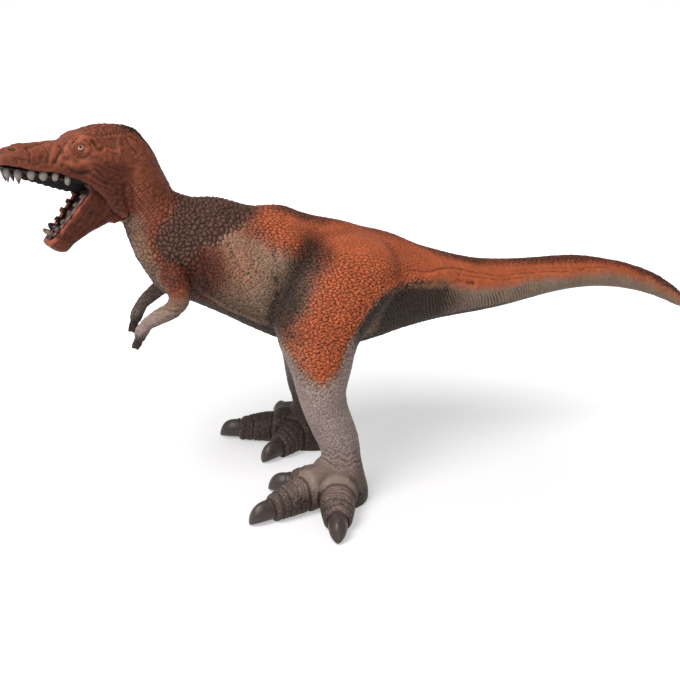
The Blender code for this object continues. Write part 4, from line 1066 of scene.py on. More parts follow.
def shape_body(skin, owner, sizes):
    """Folds and pebbles of the body, each in its region; gives the shoulder pebbles' tones."""
    places = skin.places
    x, y, z = places.T
    flat = places[:, [0, 2]]
    normals = skin.normals()
    is_head = owner == HEAD
    is_leg = owner >= LEFT_LEG
    is_tail = owner == TAIL
    head = skin.in_head()
    side_on = fade(0.15, 0.45, np.abs(normals[:, 1]))
    body_only = np.where(is_head, 0.0, 1.0)
    before = skin.relief.copy()
    wander = np.stack([ripple(places, 12.0, 11), ripple(places, 12.0, 12)], axis=1)
    skin.press(flat + wander * 1.6, BODY_CREASES)
    skin.relief = before + (skin.relief - before) * side_on * body_only * sizes.relief
    warp = np.stack([ripple(places, 11.0, salt) for salt in (61, 62, 63)], axis=1)

    # Shoulders, neck and chest
    big_edge, big_tone = pebbles(places + warp * 1.4, sizes.shoulder_pebble, 0.85, 5)
    scalloped = z + 2.2 * (big_tone - 0.5) - level(PEBBLE_FLOOR, x)
    big = fade(-0.8, 0.5, scalloped) * fade(-52.0, -84.0, x)
    front = level([(height, place) for height, place in BROWN_FRONT], z)
    big *= fade(front - 7.0, front + 1.0, x + 3.0 * warp[:, 0])
    neck = is_head * (1.0 - big) * fade(224.0, 216.0, z + 2.0 * warp[:, 2])
    neck *= fade(1.0, -1.0, head[:, 0] - level(SCUTES_AHEAD, z))
    neck *= fade(-2.0, 1.0, head[:, 0] - level(SCUTES_BACK, z))
    chest = (1.0 - neck) * (1.0 - big) * fade(-112.0, -124.0, x) * fade(222.0, 200.0, z) \
        * fade(134.0, 146.0, z)
    chest_edge, _ = pebbles(places + warp, CHEST_PEBBLE, 0.85, 9)

    # Hip, tail, shins, flank and feet
    tilt = (places[:, 2] - 120.0) * 0.22
    leaned = np.stack([x + tilt, y, z + 0.18 * x], axis=1)
    hip_edge, _ = pebbles((leaned + warp * 1.2) / HIP_STRETCH, sizes.hip_pebble, 0.9, 6)
    small_edge, _ = pebbles(places + warp * 0.8, FLANK_PEBBLE, 0.9, 8)
    rough = 0.5 * ripple(places, 3.0, 71) + 0.5 * ripple(places, 1.7, 72)
    front_gap = x - level(ORANGE_FRONT, z)
    floor_gap = z - level(ORANGE_FLOOR, x)
    hip = fade(-14.0, 0.0, front_gap) * ~is_head
    hip = hip * fade(-16.0, 2.0, floor_gap) * fade(34.0, 6.0, x + 10.0 * warp[:, 0])
    tail = is_tail * fade(4.0, 40.0, x)
    shin = is_leg * (1.0 - fade(-16.0, 4.0, floor_gap))
    flank = body_only * (1.0 - big) * (1.0 - hip) * (1.0 - tail) * (1.0 - shin)
    under_stripe = z - level(STRIPE_FLOOR, x)
    smooth_top = 1.0 - 0.78 * fade(-22.0, -8.0, under_stripe) * fade(-84.0, -60.0, x)
    foot = foot_rings(skin, owner)
    rows = x + 2.2 * warp[:, 0] + 0.30 * z + 0.5 * ripple(places, 3.0, 73)
    wrinkles = 0.5 + 0.5 * np.cos(math.tau * rows / RING_PITCH)
    ring = (is_tail | (owner == TORSO)) * fade(-20.0, 10.0, x) * fade(0.0, -5.0, floor_gap)
    ring = ring * fade(135.0, 95.0, x + 12.0 * warp[:, 1])

    # The relief of each region
    smaller = 1.0 - 0.50 * fade(-12.0, 0.0, under_stripe)
    relief = big * smaller * 2.1 * (bead(big_edge, 1.0) - 0.62)
    relief += chest * 0.75 * (bead(chest_edge, 0.55) - 0.60)
    relief += neck * 0.34 * (scutes(skin) - 0.6)
    relief += hip * smooth_top * (1.15 * (bead(hip_edge, 0.9) - 0.58) + 0.30 * rough)
    relief += flank * (0.44 * (bead(small_edge, 0.5) - 0.58) + 0.24 * rough)
    for centre, radii, height in BACK_SWELLS:
        relief += height * spot(flat, centre, radii, 0.8) * body_only
    relief += tail * 0.16 * rough
    knobs, _ = pebbles(places, CHEST_PEBBLE, 0.7, 12)
    relief += body_only * fade(-3.0, 3.0, under_stripe) * 0.55 * (bead(knobs, 0.5) - 0.55)
    relief -= ring * 0.40 * wrinkles ** 2 * np.clip(0.7 + 0.9 * warp[:, 2], 0.0, 1.5)
    relief += shin * (0.42 * (bead(small_edge, 0.7) - 0.58) + 0.24 * rough) \
        * (1.0 - 0.75 * fade(38.0, 26.0, z))
    relief += foot
    skin.relief += relief * sizes.relief
    return big_tone


def paint_body(skin, owner, pebble_tone):
    """Coats of paint as masks: where each colour is sprayed, painted shade among them."""
    places = skin.places
    cloud = 4.0 * ripple(places, 14.0, 81) + 2.5 * ripple(places, 5.0, 82)
    floor_gap = places[:, 2] - level(ORANGE_FLOOR, places[:, 0]) + 0.35 * cloud
    paint_hips(skin, owner, cloud, floor_gap)
    paint_head(skin, owner, cloud)
    paint_shoulders(skin, cloud, pebble_tone)
    paint_legs_and_tail(skin, owner, cloud, floor_gap)
    paint_stripes_and_shade(skin, owner, cloud, floor_gap)
    skin.masks["mouth"] = in_mouth(skin.in_head(), owner == HEAD, skin.normals())


def paint_hips(skin, owner, cloud, floor_gap):
    """Orange over hips, back and tail, with a faint tint on the flank."""
    x, _, z = skin.places.T
    not_head = (owner != HEAD).astype(float)
    front_gap = x - level(ORANGE_FRONT, z) + cloud
    orange = fade(-16.0, 10.0, front_gap) * fade(-5.0, 5.0, floor_gap) * not_head
    orange *= 1.0 - 0.4 * fade(185.0, 240.0, x)
    tint = spot(skin.places[:, [0, 2]], (-108.0, 164.0), (16.0, 18.0), 0.7) * not_head
    skin.masks["orange"] = np.maximum(orange, 0.26 * tint)


def paint_head(skin, owner, cloud):
    """Rust over head and neck, thin on the throat, and deeper rust on cheeks and upper arms, with painted shade
    under the cheek fold and in the fold at the shoulder.
    """
    x, _, z = skin.places.T
    flat = skin.places[:, [0, 2]]
    is_head = (owner == HEAD).astype(float)
    not_head = 1.0 - is_head
    head = skin.in_head()
    head_flat = head[:, [0, 2]]
    rust = np.maximum(is_head, fade(-114.0, -128.0, x + cloud))
    rust = np.maximum(rust, 0.8 * spot(flat, (-122.0, 164.0), (9.0, 18.0), 0.5))
    rust = np.maximum(rust, 0.55 * spot(flat, (-96.0, 184.0), (14.0, 5.0), 0.8, -20.0))
    throat = fade(4.0, -3.0, x - level(THROAT_FRONT, z) + 0.4 * cloud) \
        * fade(199.0, 191.0, z) * fade(138.0, 148.0, z)
    skin.masks["rust"] = rust * (1.0 - 0.72 * throat)
    dusk = 0.35 * is_head * fade(238.0, 246.0, z) * fade(34.0, 22.0, head[:, 0])
    jaw_side = spot(head_flat, (24.0, 208.0), (20.0, 17.0), 0.4)
    jaw_side = np.maximum(jaw_side, spot(head_flat, (18.0, 222.0), (13.0, 8.5), 0.5))
    # Painted shade under the cheek fold
    cheek = spot(head_flat, (38.0, 223.5), (11.0, 5.0), 0.6)
    muzzle = 0.35 * fade(46.0, 60.0, head[:, 0])
    shoulder = spot(flat, (-128.0, 160.0), (17.0, 19.0), 0.6) * not_head
    # Painted shade in the fold between shoulder and belly
    shoulder_fold_shade = spot(flat, (-125.0, 165.0), (4.5, 14.0), 0.7) * not_head
    skin.masks["deep"] = np.clip(np.maximum.reduce([
        0.85 * is_head * jaw_side, 0.8 * is_head * cheek, muzzle * is_head, 0.85 * shoulder, dusk,
        0.95 * shoulder_fold_shade, 0.25 * is_head * fade(18.0, -4.0, head[:, 0])]), 0.0, 1.0)


def paint_shoulders(skin, cloud, pebble_tone):
    """Dark brown over the large pebbles, pebble by pebble at its lower border."""
    x, _, z = skin.places.T
    above = z - level(BROWN_FLOOR, x) + 1.6 * (pebble_tone - 0.5)
    behind = x - level(BROWN_FRONT, z)
    skin.masks["brown"] = fade(-2.5, 3.5, above) * fade(-4.0, 5.0, behind + 0.6 * cloud) \
        * fade(-28.0, -64.0, x + cloud)


def paint_legs_and_tail(skin, owner, cloud, floor_gap):
    """Grey shins, brown grey feet and a tan underside of the tail."""
    x, _, z = skin.places.T
    is_leg = (owner >= LEFT_LEG).astype(float)
    skin.masks["grey"] = np.clip(is_leg * fade(4.0, -12.0, floor_gap), 0.0, 1.0)
    skin.masks["foot"] = is_leg * fade(44.0, 26.0, z + 0.5 * cloud)
    skin.masks["tan"] = (owner == TAIL) * fade(3.0, -5.0, floor_gap) * fade(30.0, 70.0, x)


def paint_stripes_and_shade(skin, owner, cloud, floor_gap):
    """The dark coat: stripe of the back, throat strip, airbrushed bands and undersides, with painted shade under
    the tail's root, at the backs of the ankles, on the inner sides of the legs and under the toes, and a painted
    shadow over the far foot.
    """
    x, y, z = skin.places.T
    normals = skin.normals()
    is_head = (owner == HEAD).astype(float)
    not_head = 1.0 - is_head
    is_leg = (owner >= LEFT_LEG).astype(float)
    head = skin.in_head()
    under = fade(-0.50, -0.80, normals[:, 2])
    belly = under * (1.0 - is_leg) * not_head * fade(130.0, 60.0, x)
    stripe_gap = z - level(STRIPE_FLOOR, x) + 0.25 * cloud
    spine = fade(-2.0, 2.5, stripe_gap) * fade(0.10, 0.45, normals[:, 2]) * not_head
    nape = is_head * fade(11.0, 5.5, np.abs(head[:, 1])) * fade(12.0, -2.0, head[:, 0])
    nape *= fade(0.0, 0.5, -(normals @ np.array(AHEAD)) + normals[:, 2] * 0.5)
    strip = fade(5.0, 2.5, np.abs(y - MIDDLE + 4.0)) * fade(0.2, 0.6, -normals[:, 0]) \
        * fade(-128.0, -140.0, x) * fade(200.0, 190.0, z)
    band = distance_to(skin.places[:, [0, 2]], flowing(AIRBRUSH))
    airbrush = fade(19.0, 1.0, band + 0.8 * cloud) * not_head
    # Painted shade under the tail's root
    under_tail_shade = fade(3.0, -5.0, floor_gap) * fade(-22.0, -8.0, x + cloud) \
        * fade(62.0, 34.0, x + cloud)
    thigh_rear = is_leg * fade(102.0, 112.0, z) * fade(-38.0, -30.0, x) \
        * fade(4.0, -4.0, floor_gap)
    # Painted shade on the backs of the ankles
    ankle_back_shade = is_leg * fade(60.0, 20.0, z) * fade(0.2, 0.8, normals[:, 0])
    low_flank = fade(20.0, 0.0, z - level(BELLY_RIDGE, x) + cloud) * (owner == TORSO) \
        * fade(-70.0, -90.0, x)
    # Painted shade on the inner sides of the legs
    inner = is_leg * fade(0.1, 0.7, -normals[:, 1] * np.sign(y - MIDDLE)) * fade(170.0, 120.0, z)
    # Painted shade on the lower toes and their downward faces
    toe_underside_shade = is_leg * fade(22.0, 8.0, z + 0.5 * cloud - 6.0 * normals[:, 2])
    # Painted shadow over the far foot
    far_foot_shadow = (owner == RIGHT_LEG) * fade(90.0, 40.0, z)
    skin.masks["dark"] = np.clip(np.maximum.reduce([
        belly, 0.78 * spine, nape, strip, airbrush * 0.90, under_tail_shade * 0.92 * (1.0 - is_leg),
        0.9 * thigh_rear, 0.5 * low_flank, 0.5 * ankle_back_shade, 0.75 * inner, 0.80 * toe_underside_shade,
        0.80 * far_foot_shadow]), 0.0, 1.0)


def in_mouth(head, is_head, normals):
    """Where the skin lies inside the upper lips or in the slot that holds the jaw; the slot's walls are near black
    as painted shade.
    """
    ahead, aside, height = head.T
    lip_gap = height - level(LIPS, ahead)
    at_lip = is_head & (np.abs(lip_gap - 1.5) < 1.5)
    steps = np.clip(((ahead - MOUTH_START) / MOUTH_STEP).astype(int), 0, MOUTH_STEPS - 1)
    widest = np.zeros(MOUTH_STEPS)
    np.maximum.at(widest, steps[at_lip], np.abs(aside[at_lip]))
    middles = MOUTH_START + MOUTH_STEP * (np.arange(MOUTH_STEPS) + 0.5)
    inside = fade(1.6, 2.6, np.interp(ahead, middles, widest) - np.abs(aside))
    inside *= fade(9.0, 7.0, lip_gap) * fade(25.0, 27.0, ahead)
    # Painted shade: near black on the walls of the slot that holds the jaw
    turn = np.hypot(ahead - HINGE_AHEAD, height - HINGE.z / METRES)
    inward = fade(0.35, -0.05, normals @ np.array(ASIDE) * np.sign(aside))
    slot = fade(12.3, 11.9, np.abs(aside)) * fade(27.0, 26.4, turn) * inward
    return np.maximum(inside, slot)


class DINOSAUR_OT_body(bpy.types.Operator):
    """Sculpt and paint the skins of head, torso, tail and legs"""
    bl_idname = "dinosaur.body"
    bl_label = "Body skins"

    def execute(self, context):
        sizes = context.scene.dinosaur_sizes
        skin = Skin(list(SKIN_NODES.values()), sizes.voxel, shoulder_fills())
        owner = nearest_nodes(skin)
        smooth_casting(skin, owner)
        is_head = (owner == HEAD).astype(float)
        shape_head(skin, skin.relaxed(is_head, 4), sizes.relief)
        pebble_tone = shape_body(skin, owner, sizes)
        paint_body(skin, owner, pebble_tone)
        skin.emboss()
        skin.find_hollows_and_high_spots()
        low_leg = (owner >= LEFT_LEG) * fade(110.0, 80.0, skin.places[:, 2])
        # Less dark paint and painted shade in the hollows of the head and the lower legs
        skin.masks["hollow_paint_and_shade"] *= 1.0 - 0.35 * is_head - 0.40 * low_leg
        material = skin_material("airbrushed_vinyl", context.scene.dinosaur_colours)
        face_owner = owner[skin.faces[:, 0]]
        for index, (name, node) in enumerate(SKIN_NODES.items()):
            mesh = skin_mesh(name, skin, face_owner == index)
            add_piece(name, mesh, "body", material, (node,))
        return {"FINISHED"}


# Lower jaw

# Half the width of the jaw's rim by how far along the rim a place lies
JAW_HALF = ((8.0, 10.4), (20.0, 10.4), (32.0, 9.2), (42.0, 7.4), (47.0, 3.0))
# Grooves on the jaw by (along, above) the rim: width, depth, path
JAW_CREASES = ((1.0, 0.40, ((12.0, -4.4), (24.0, -4.8), (38.0, -4.4))),
               (1.0, 0.22, ((16.0, -9.0), (26.0, -9.5), (38.0, -7.5))),
               (0.9, 0.20, ((14.0, -14.0), (24.0, -13.0), (32.0, -10.5))))


class DINOSAUR_OT_jaw(bpy.types.Operator):
    """Sculpt and paint the lower jaw with its red rim"""
    bl_idname = "dinosaur.jaw"
    bl_label = "Lower jaw"

    def execute(self, context):
        sizes = context.scene.dinosaur_sizes
        skin = Skin(["lower_jaw"], sizes.fine_voxel)
        skin.places = skin.relaxed(skin.places, 14, 0.35)
        offset = skin.places - np.array(HINGE) / METRES
        along = offset @ np.array(RIM_AHEAD)
        above = offset @ np.array(RIM_UP) - RIM_LIFT
        aside = np.abs(offset @ np.array(ASIDE))
        ragged = ripple(skin.places, 2.6, 91)
        edge = level(JAW_HALF, along) - aside
        rim = fade(-3.2, -1.4, above) * fade(5.0, 8.0, along) * fade(3.2, 2.2, edge)
        skin.relief += rim * (0.15 + 0.55 * ragged)
        skin.relief += (1.0 - rim) * (0.22 * ripple(skin.places, 2.2, 92)
                                      + 0.50 * ripple(skin.places, 5.0, 93))
        flat = np.stack([along, above], axis=1)
        skin.press(flat + ragged[:, None] * 0.5, JAW_CREASES, rim < 0.5)
        skin.emboss()
        skin.find_hollows_and_high_spots()
        masks = skin.masks
        facing = skin.normals() @ np.array(RIM_UP)
        floor = fade(-2.6, -3.4, above) * fade(3.2, 4.4, edge) * fade(2.0, 6.0, along)
        floor = np.maximum(floor, fade(3.4, 4.6, edge) * fade(0.1, 0.6, facing)
                           * fade(2.0, 6.0, along))
        masks["rust"] = 1.0 - floor
        masks["deep"] = 0.85 * (1.0 - floor) * fade(64.0, 34.0, along + 3.0 * ragged)
        near = fade(2.0, -2.0, offset @ np.array(ASIDE))
        masks["lip"] = rim * fade(-2.0 - 0.6 * near, -0.9, above + 0.9 * ragged) * (1.0 - floor) \
            * (0.70 - 0.45 * near + 0.35 * ragged)
        masks["foot"] = floor
        masks["dark"] = np.maximum(floor * (0.45 + 0.3 * fade(26.0, 8.0, along)),
                                   0.8 * fade(-0.6, -0.95, facing))
        masks["mouth"] = fade(4.0, -1.0, along) * fade(11.0, 10.0, aside)
        material = skin_material("jaw_vinyl", context.scene.dinosaur_colours, 900.0, 0.3)
        add_piece("jaw_skin", skin_mesh("jaw_skin", skin), "jaw", material,
                  ("lower_jaw",))
        return {"FINISHED"}


# Teeth

TOOTH_SIDES = 20
TOOTH_RINGS = 18
# The gum's top over the strip's lowest places, and the length of a painted tooth's root
GUM_LEVEL = 2.3
TOOTH_ROOT = 1.8


def node_places(node):
    """The places of a CAD node's vertices in millimetres, and its mesh."""
    mesh = frame["nodes"][node].data
    places = np.empty(len(mesh.vertices) * 3)
    mesh.vertices.foreach_get("co", places)
    return places.reshape(-1, 3) / METRES, mesh


def tooth_stubs(node, direction):
    """Tip and radius of each tooth of a CAD row, from front to back."""
    places, mesh = node_places(node)
    gum_top = height_of_gum(places, places @ np.array(direction))
    working = bmesh.new()
    working.from_mesh(mesh)
    bmesh.ops.remove_doubles(working, verts=working.verts[:], dist=1e-6)
    tall = {vertex for vertex in working.verts
            if vertex.co @ direction / METRES > gum_top(vertex.co / METRES) + 1.0}
    teeth = []
    while tall:
        group = [tall.pop()]
        for vertex in group:
            for edge in vertex.link_edges:
                other = edge.other_vert(vertex)
                if other in tall:
                    tall.remove(other)
                    group.append(other)
        stub = np.array([vertex.co / METRES for vertex in group])
        rise = stub @ np.array(direction)
        tip = stub[rise > rise.max() - 0.05].mean(axis=0)
        flat = stub - np.outer(rise, np.array(direction))
        radius = np.linalg.norm(flat - flat.mean(axis=0), axis=1).max()
        teeth.append((Vector(tip), radius))
    working.free()
    return sorted(teeth, key=lambda tooth: -tooth[0].dot(AHEAD))


def height_of_gum(places, height):
    """A function that gives the gum's top by how far ahead a place lies."""
    ahead = places @ np.array(AHEAD)
    edges = np.linspace(ahead.min() - 0.01, ahead.max() + 0.01, 12)
    middles = (edges[:-1] + edges[1:]) / 2
    lows = [height[(ahead >= low) & (ahead <= high)].min()
            for low, high in zip(edges, edges[1:])]
    gum = np.array(lows) + GUM_LEVEL

    def top(place):
        return float(np.interp(place @ AHEAD, middles, gum))
    return top


def tooth_mesh(tip, direction, inward, length, radius, point, shade):
    """A fat curved tooth; point is 0 for a round peg and 1 for a fang."""
    side = direction.cross(inward).normalized()
    rings = []
    values = []
    for step in range(TOOTH_RINGS):
        share = math.sin(math.pi / 2 * step / (TOOTH_RINGS - 1))
        peg = math.sqrt(max(0.0, 1.0 - max(0.0, (share - 0.42) / 0.58) ** 2))
        fang = (1.0 - max(0.0, (share - 0.25) / 0.75) ** 1.25) * 0.97 + 0.03
        width = radius * (0.80 + 0.20 * min(1.0, share / 0.35))
        width *= max(0.05, peg * (1.0 - point) + fang * point)
        curve = 0.16 * length * share * share * (0.4 + point)
        centre = tip - direction * (length * (1.0 - share)) + inward * (curve - 0.10 * length)
        ring = []
        for turn in range(TOOTH_SIDES):
            angle = math.tau * turn / TOOTH_SIDES
            flute = 1.0 + 0.035 * math.cos(5 * angle + point)
            ring.append((centre + (side * math.cos(angle) + inward * (0.88 * math.sin(angle)))
                         * (width * flute)) * METRES)
            # The dark coat: painted tips, painted shade on the side towards the mouth and near the root, and the
            # row's share of painted shade
            inner = 0.5 + 0.5 * math.sin(angle)
            tip_coat = max(0.0, share - (0.86 - 0.36 * point)) * (1.6 + 2.0 * point)
            values.append(tip_coat + 0.55 * inner + 2.2 * max(0.0, 0.45 - share) + shade)
        rings.append(ring)
    mesh = rings_mesh("tooth", rings)
    store(mesh, "tip", np.clip(values, 0.0, 1.0))
    return mesh


# Rows from front to back, two teeth a row: length, reach past the CAD tooth, width against it,
# and fang or peg
UPPER_ROWS = ((7.6, 3.2, 1.10, 0.85), (7.6, 2.2, 1.16, 1.0), (4.6, -1.6, 1.36, 0.1),
              (4.4, -2.4, 1.42, 0.0), (4.4, -2.7, 1.42, 0.0), (4.4, -1.6, 1.36, 0.0))
LOWER_ROWS = ((6.0, -0.6, 0.95, 0.9), (4.4, -2.0, 1.15, 0.4), (3.4, -3.0, 1.25, 0.0),
              (3.2, -3.2, 1.28, 0.0), (3.0, -3.2, 1.25, 0.0), (2.8, -3.2, 1.20, 0.0))
# The share of painted shade over all of the lower teeth
LOWER_SHADE = 0.75


def make_teeth(context, name, node, direction, body, rows, shift, shade):
    """Painted teeth over the CAD teeth of a row, pointing in a direction."""
    stubs = tooth_stubs(node, direction)
    teeth = []
    for index, (tip, radius) in enumerate(stubs):
        length, reach, width, point = rows[min(index // 2, len(rows) - 1)]
        side = (tip - PIVOT / METRES).dot(ASIDE)
        inward = ASIDE * -math.copysign(1.0, side) * 0.94 - AHEAD * (0.34 if index < 4 else 0.1)
        inward -= direction * inward.dot(direction)
        inward.normalize()
        top = tip + inward * shift + direction * reach
        teeth.append(tooth_mesh(top, direction, inward, length + TOOTH_ROOT, radius * width,
                                point, shade))
    mesh = join_meshes(name, teeth)
    material = tooth_material(name + "_paint", context.scene.dinosaur_colours)
    add_piece(name, mesh, body, material)


GUM_VOXEL = 0.45


def make_gum(context, node, direction, body, brown):
    """The row's gum strip with its CAD teeth taken down to the gum."""
    skin = Skin([node], GUM_VOXEL)
    skin.places = skin.relaxed(skin.places, 8, 0.5)
    places, _ = node_places(node)
    up = np.array(direction)
    gum_top = height_of_gum(places, places @ up)
    limit = np.array([gum_top(place) for place in skin.places])
    excess = np.maximum(0.0, skin.places @ up - limit - 0.3)
    skin.places = skin.places - excess[:, None] * 0.97 * up
    skin.relief = 0.16 * ripple(skin.places, 1.6, 95)
    skin.emboss()
    skin.find_hollows_and_high_spots()
    skin.masks["hollow_paint_and_shade"] *= 0.5
    skin.masks["rust"] = np.full(len(skin.places), 1.0)
    skin.masks["foot"] = np.full(len(skin.places), brown)
    skin.masks["lip"] = 0.8 * (brown > 0.0) * fade(0.0, 2.0, skin.in_head()[:, 1])
    streaks = 0.5 + 0.5 * ripple(skin.places * (1.0, 1.0, 0.3), 1.5, 96)
    skin.masks["deep"] = np.full(len(skin.places), 0.8)
    # Near black over the upper gum in streaks: dark gum paint with painted shade under the lip
    skin.masks["mouth"] = (0.45 + 0.5 * streaks) * (1.0 - brown)
    material = skin_material(node + "_gum_vinyl", context.scene.dinosaur_colours, 1200.0, 0.3)
    add_piece(node + "_gum", skin_mesh(node + "_gum", skin), body, material, (node,))


# How far the palate hangs below the line of the lips, and its top over that line
PALATE_DROP = ((27.0, 3.0), (30.0, 5.0), (36.0, 6.0), (39.0, 6.4), (46.0, 6.2), (56.0, 5.6),
               (66.0, 5.0), (72.0, 3.6), (74.5, 1.0))
PALATE_TOP = 7.5
# Half the width of the palate's ridge, which goes between the lower gums when the jaw shuts
PALATE_RIDGE = 3.2
PALATE_SIDES = 36
PALATE_RINGS = 40


def palate_mesh():
    """The dark roof of the mouth between the upper teeth, with low cross ridges; it hangs below the lips as
    painted shade between the teeth, over the mouth's dark paint.
    """
    places, _ = node_places("upper_teeth")
    offset = places - np.array(PIVOT) / METRES
    ahead = offset @ np.array(AHEAD)
    aside = np.abs(offset @ np.array(ASIDE))
    rings = []
    for place in np.linspace(PALATE_DROP[0][0], PALATE_DROP[-1][0], PALATE_RINGS):
        near = np.abs(ahead - max(place, 40.0)) < 4.0
        half = max(0.8, aside[near].max() - 2.8)
        lip = float(level(LIPS, place))
        drop = float(level(PALATE_DROP, place)) + 0.35 * math.cos(math.tau * place / 4.0)
        middle = lip + PALATE_TOP - (drop + PALATE_TOP) / 2
        ring = []
        for turn in range(PALATE_SIDES):
            angle = math.tau * turn / PALATE_SIDES
            across = math.copysign(abs(math.cos(angle)) ** 0.6, math.cos(angle))
            rise = math.copysign(abs(math.sin(angle)) ** 0.6, math.sin(angle))
            height = middle + rise * (drop + PALATE_TOP) / 2
            lean = min(1.0, max(0.0, -rise / 0.35))
            width = half + (min(half, PALATE_RIDGE) - half) * lean
            point = PIVOT + AHEAD * (place * METRES) + ASIDE * (width * across * METRES)
            ring.append(Vector((point.x, point.y, height * METRES)))
        rings.append(ring)
    mesh = rings_mesh("palate", rings)
    for name in MASKS:
        store(mesh, name, np.full(len(mesh.vertices), 1.0 if name == "mouth" else 0.0))
    return mesh


class DINOSAUR_OT_teeth(bpy.types.Operator):
    """Make both rows of fat painted teeth, their gums and the dark palate"""
    bl_idname = "dinosaur.teeth"
    bl_label = "Teeth"

    def execute(self, context):
        make_teeth(context, "upper_teeth_painted", "upper_teeth", -UP, "body", UPPER_ROWS, 0.0,
                   0.0)
        make_teeth(context, "lower_teeth_painted", "lower_teeth", RIM_UP, "jaw", LOWER_ROWS, 1.0,
                   LOWER_SHADE)
        make_gum(context, "upper_teeth", -UP, "body", 0.0)
        make_gum(context, "lower_teeth", RIM_UP, "jaw", 0.8)
        # Near black palate: mouth paint and painted shade
        material = skin_material("palate_paint_and_shade", context.scene.dinosaur_colours, 700.0, 0.4)
        add_piece("palate", palate_mesh(), "body", material)
        return {"FINISHED"}


# Claws

CLAW_SIDES = 28
CLAW_RINGS = 26
# The claws clear the floor by this much
CLAW_LIFT = 0.35


class DINOSAUR_OT_claws(bpy.types.Operator):
    """Make the six toe claws with their cuticle steps"""
    bl_idname = "dinosaur.claws"
    bl_label = "Claws"

    def execute(self, context):
        material = claw_material("dark_horn", context.scene.dinosaur_colours)
        for word, nodes in CLAW_NODES.items():
            for node in nodes:
                add_piece(node + "_horn", claw_mesh(word, node), "body", material, (node,))
        return {"FINISHED"}


def claw_mesh(word, node):
    """A blunt rounded claw in its CAD claw's box, with a swollen root and a keel."""
    places, _ = node_places(node)
    ankle, ahead, start = claw_line(word, node)
    aside = np.array((ahead[1], -ahead[0], 0.0))
    offset = places - ankle
    end = (offset @ ahead).max()
    across = offset @ aside
    middle = (across.min() + across.max()) / 2
    width = (across.max() - across.min()) / 2
    low, high = places[:, 2].min(), places[:, 2].max()
    rings = []
    hollow_paint_and_shade = []
    highlight = []
    for step in range(CLAW_RINGS):
        share = math.sin(math.pi / 2 * step / (CLAW_RINGS - 1)) ** 0.9
        taper = (1.0 - max(0.0, (share - 0.26) / 0.74) ** 2.8) ** 0.50
        size = max(0.04, taper) * (1.0 + 0.08 * math.exp(-((share - 0.24) / 0.05) ** 2))
        height = (high - low) * size
        centre = ankle + ahead * (start + (end - start) * share) + aside * middle
        ring = []
        for turn_step in range(CLAW_SIDES):
            sweep = math.tau * turn_step / CLAW_SIDES
            upward = math.sin(sweep)
            keel = 1.0 + 0.06 * max(0.0, upward) ** 8
            rise = low + CLAW_LIFT + height * (0.5 + 0.5 * upward) * keel
            if share < 0.2:
                rise = low + (high - low) * (0.5 + 0.5 * upward * size)
            point = centre + aside * (width * size * math.cos(sweep) * (1.0 - 0.12 * upward))
            ring.append(Vector((point[0], point[1], rise)) * METRES)
            # Painted shade in a band just past the swollen root, and painted highlights along the top, stronger
            # towards the point
            hollow_paint_and_shade.append(max(0.0, 1.0 - abs(share - 0.32) / 0.05) * 0.9)
            highlight.append(max(0.0, upward) ** 2 * (0.2 + 0.6 * share))
        rings.append(ring)
    mesh = rings_mesh(node, rings)
    store(mesh, "hollow_paint_and_shade", np.clip(hollow_paint_and_shade, 0.0, 1.0))
    store(mesh, "highlight", np.clip(highlight, 0.0, 1.0))
    return mesh


# Eyes

LID_SIDES = 48
EYE_RINGS = 30


class DINOSAUR_OT_eyes(bpy.types.Operator):
    """Make the painted eyes and their folded lids"""
    bl_idname = "dinosaur.eyes"
    bl_label = "Eyes"

    def execute(self, context):
        colours = context.scene.dinosaur_colours
        paint = eye_material("painted_eye", colours)
        lid_paint = skin_material("lid_vinyl", colours, 1100.0, 0.25)
        for side, word in ((-1, "left"), (1, "right")):
            low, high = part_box("eye_" + word)
            centre = (low + high) / 2
            radius = (high - low).z / 2
            gaze = (ASIDE * side + AHEAD * 0.10 + UP * 0.16).normalized()
            add_piece("eye_%s_ball" % word, eyeball_mesh(centre, radius, gaze), "body",
                      paint, ("eye_" + word,))
            lids = lid_mesh(centre, radius, ASIDE * side)
            add_piece("eye_%s_lids" % word, lids, "body", lid_paint)
        return {"FINISHED"}


def eyeball_mesh(centre, radius, gaze):
    """A ball with its pole at the pupil and fine rings round it."""
    across = gaze.cross(UP).normalized()
    upright = across.cross(gaze)
    rings = []
    gazes = []
    corners = []
    for step in range(EYE_RINGS + 1):
        tilt = math.pi * (step + 0.02) / (EYE_RINGS + 0.04)
        ring = []
        for turn in range(LID_SIDES):
            angle = math.tau * turn / LID_SIDES
            direction = (gaze * math.cos(tilt) + across * (math.sin(tilt) * math.cos(angle))
                         + upright * (math.sin(tilt) * math.sin(angle)))
            ring.append(centre + direction * radius)
            gazes.append(tilt)
            corners.append(max(0.0, -direction.dot(UP) * 1.9 + 0.06))
        rings.append(ring)
    mesh = rings_mesh("eyeball", rings)
    store(mesh, "gaze", gazes)
    store(mesh, "corner", corners)
    return mesh


# Rings of the lids from the opening outwards: reach, stand-off, and tone: painted highlight above zero, dark paint
# with painted shade below zero
LID_RINGS = ((0.50, 0.70, -1.0), (0.56, 0.93, -0.5), (0.64, 1.02, 0.5), (0.74, 1.03, 0.8),
             (0.84, 0.97, -0.2), (0.92, 0.90, -0.7), (1.02, 0.90, 0.0), (1.12, 0.84, 0.3),
             (1.22, 0.70, 0.0), (1.28, 0.46, 0.0), (1.30, 0.20, 0.0))


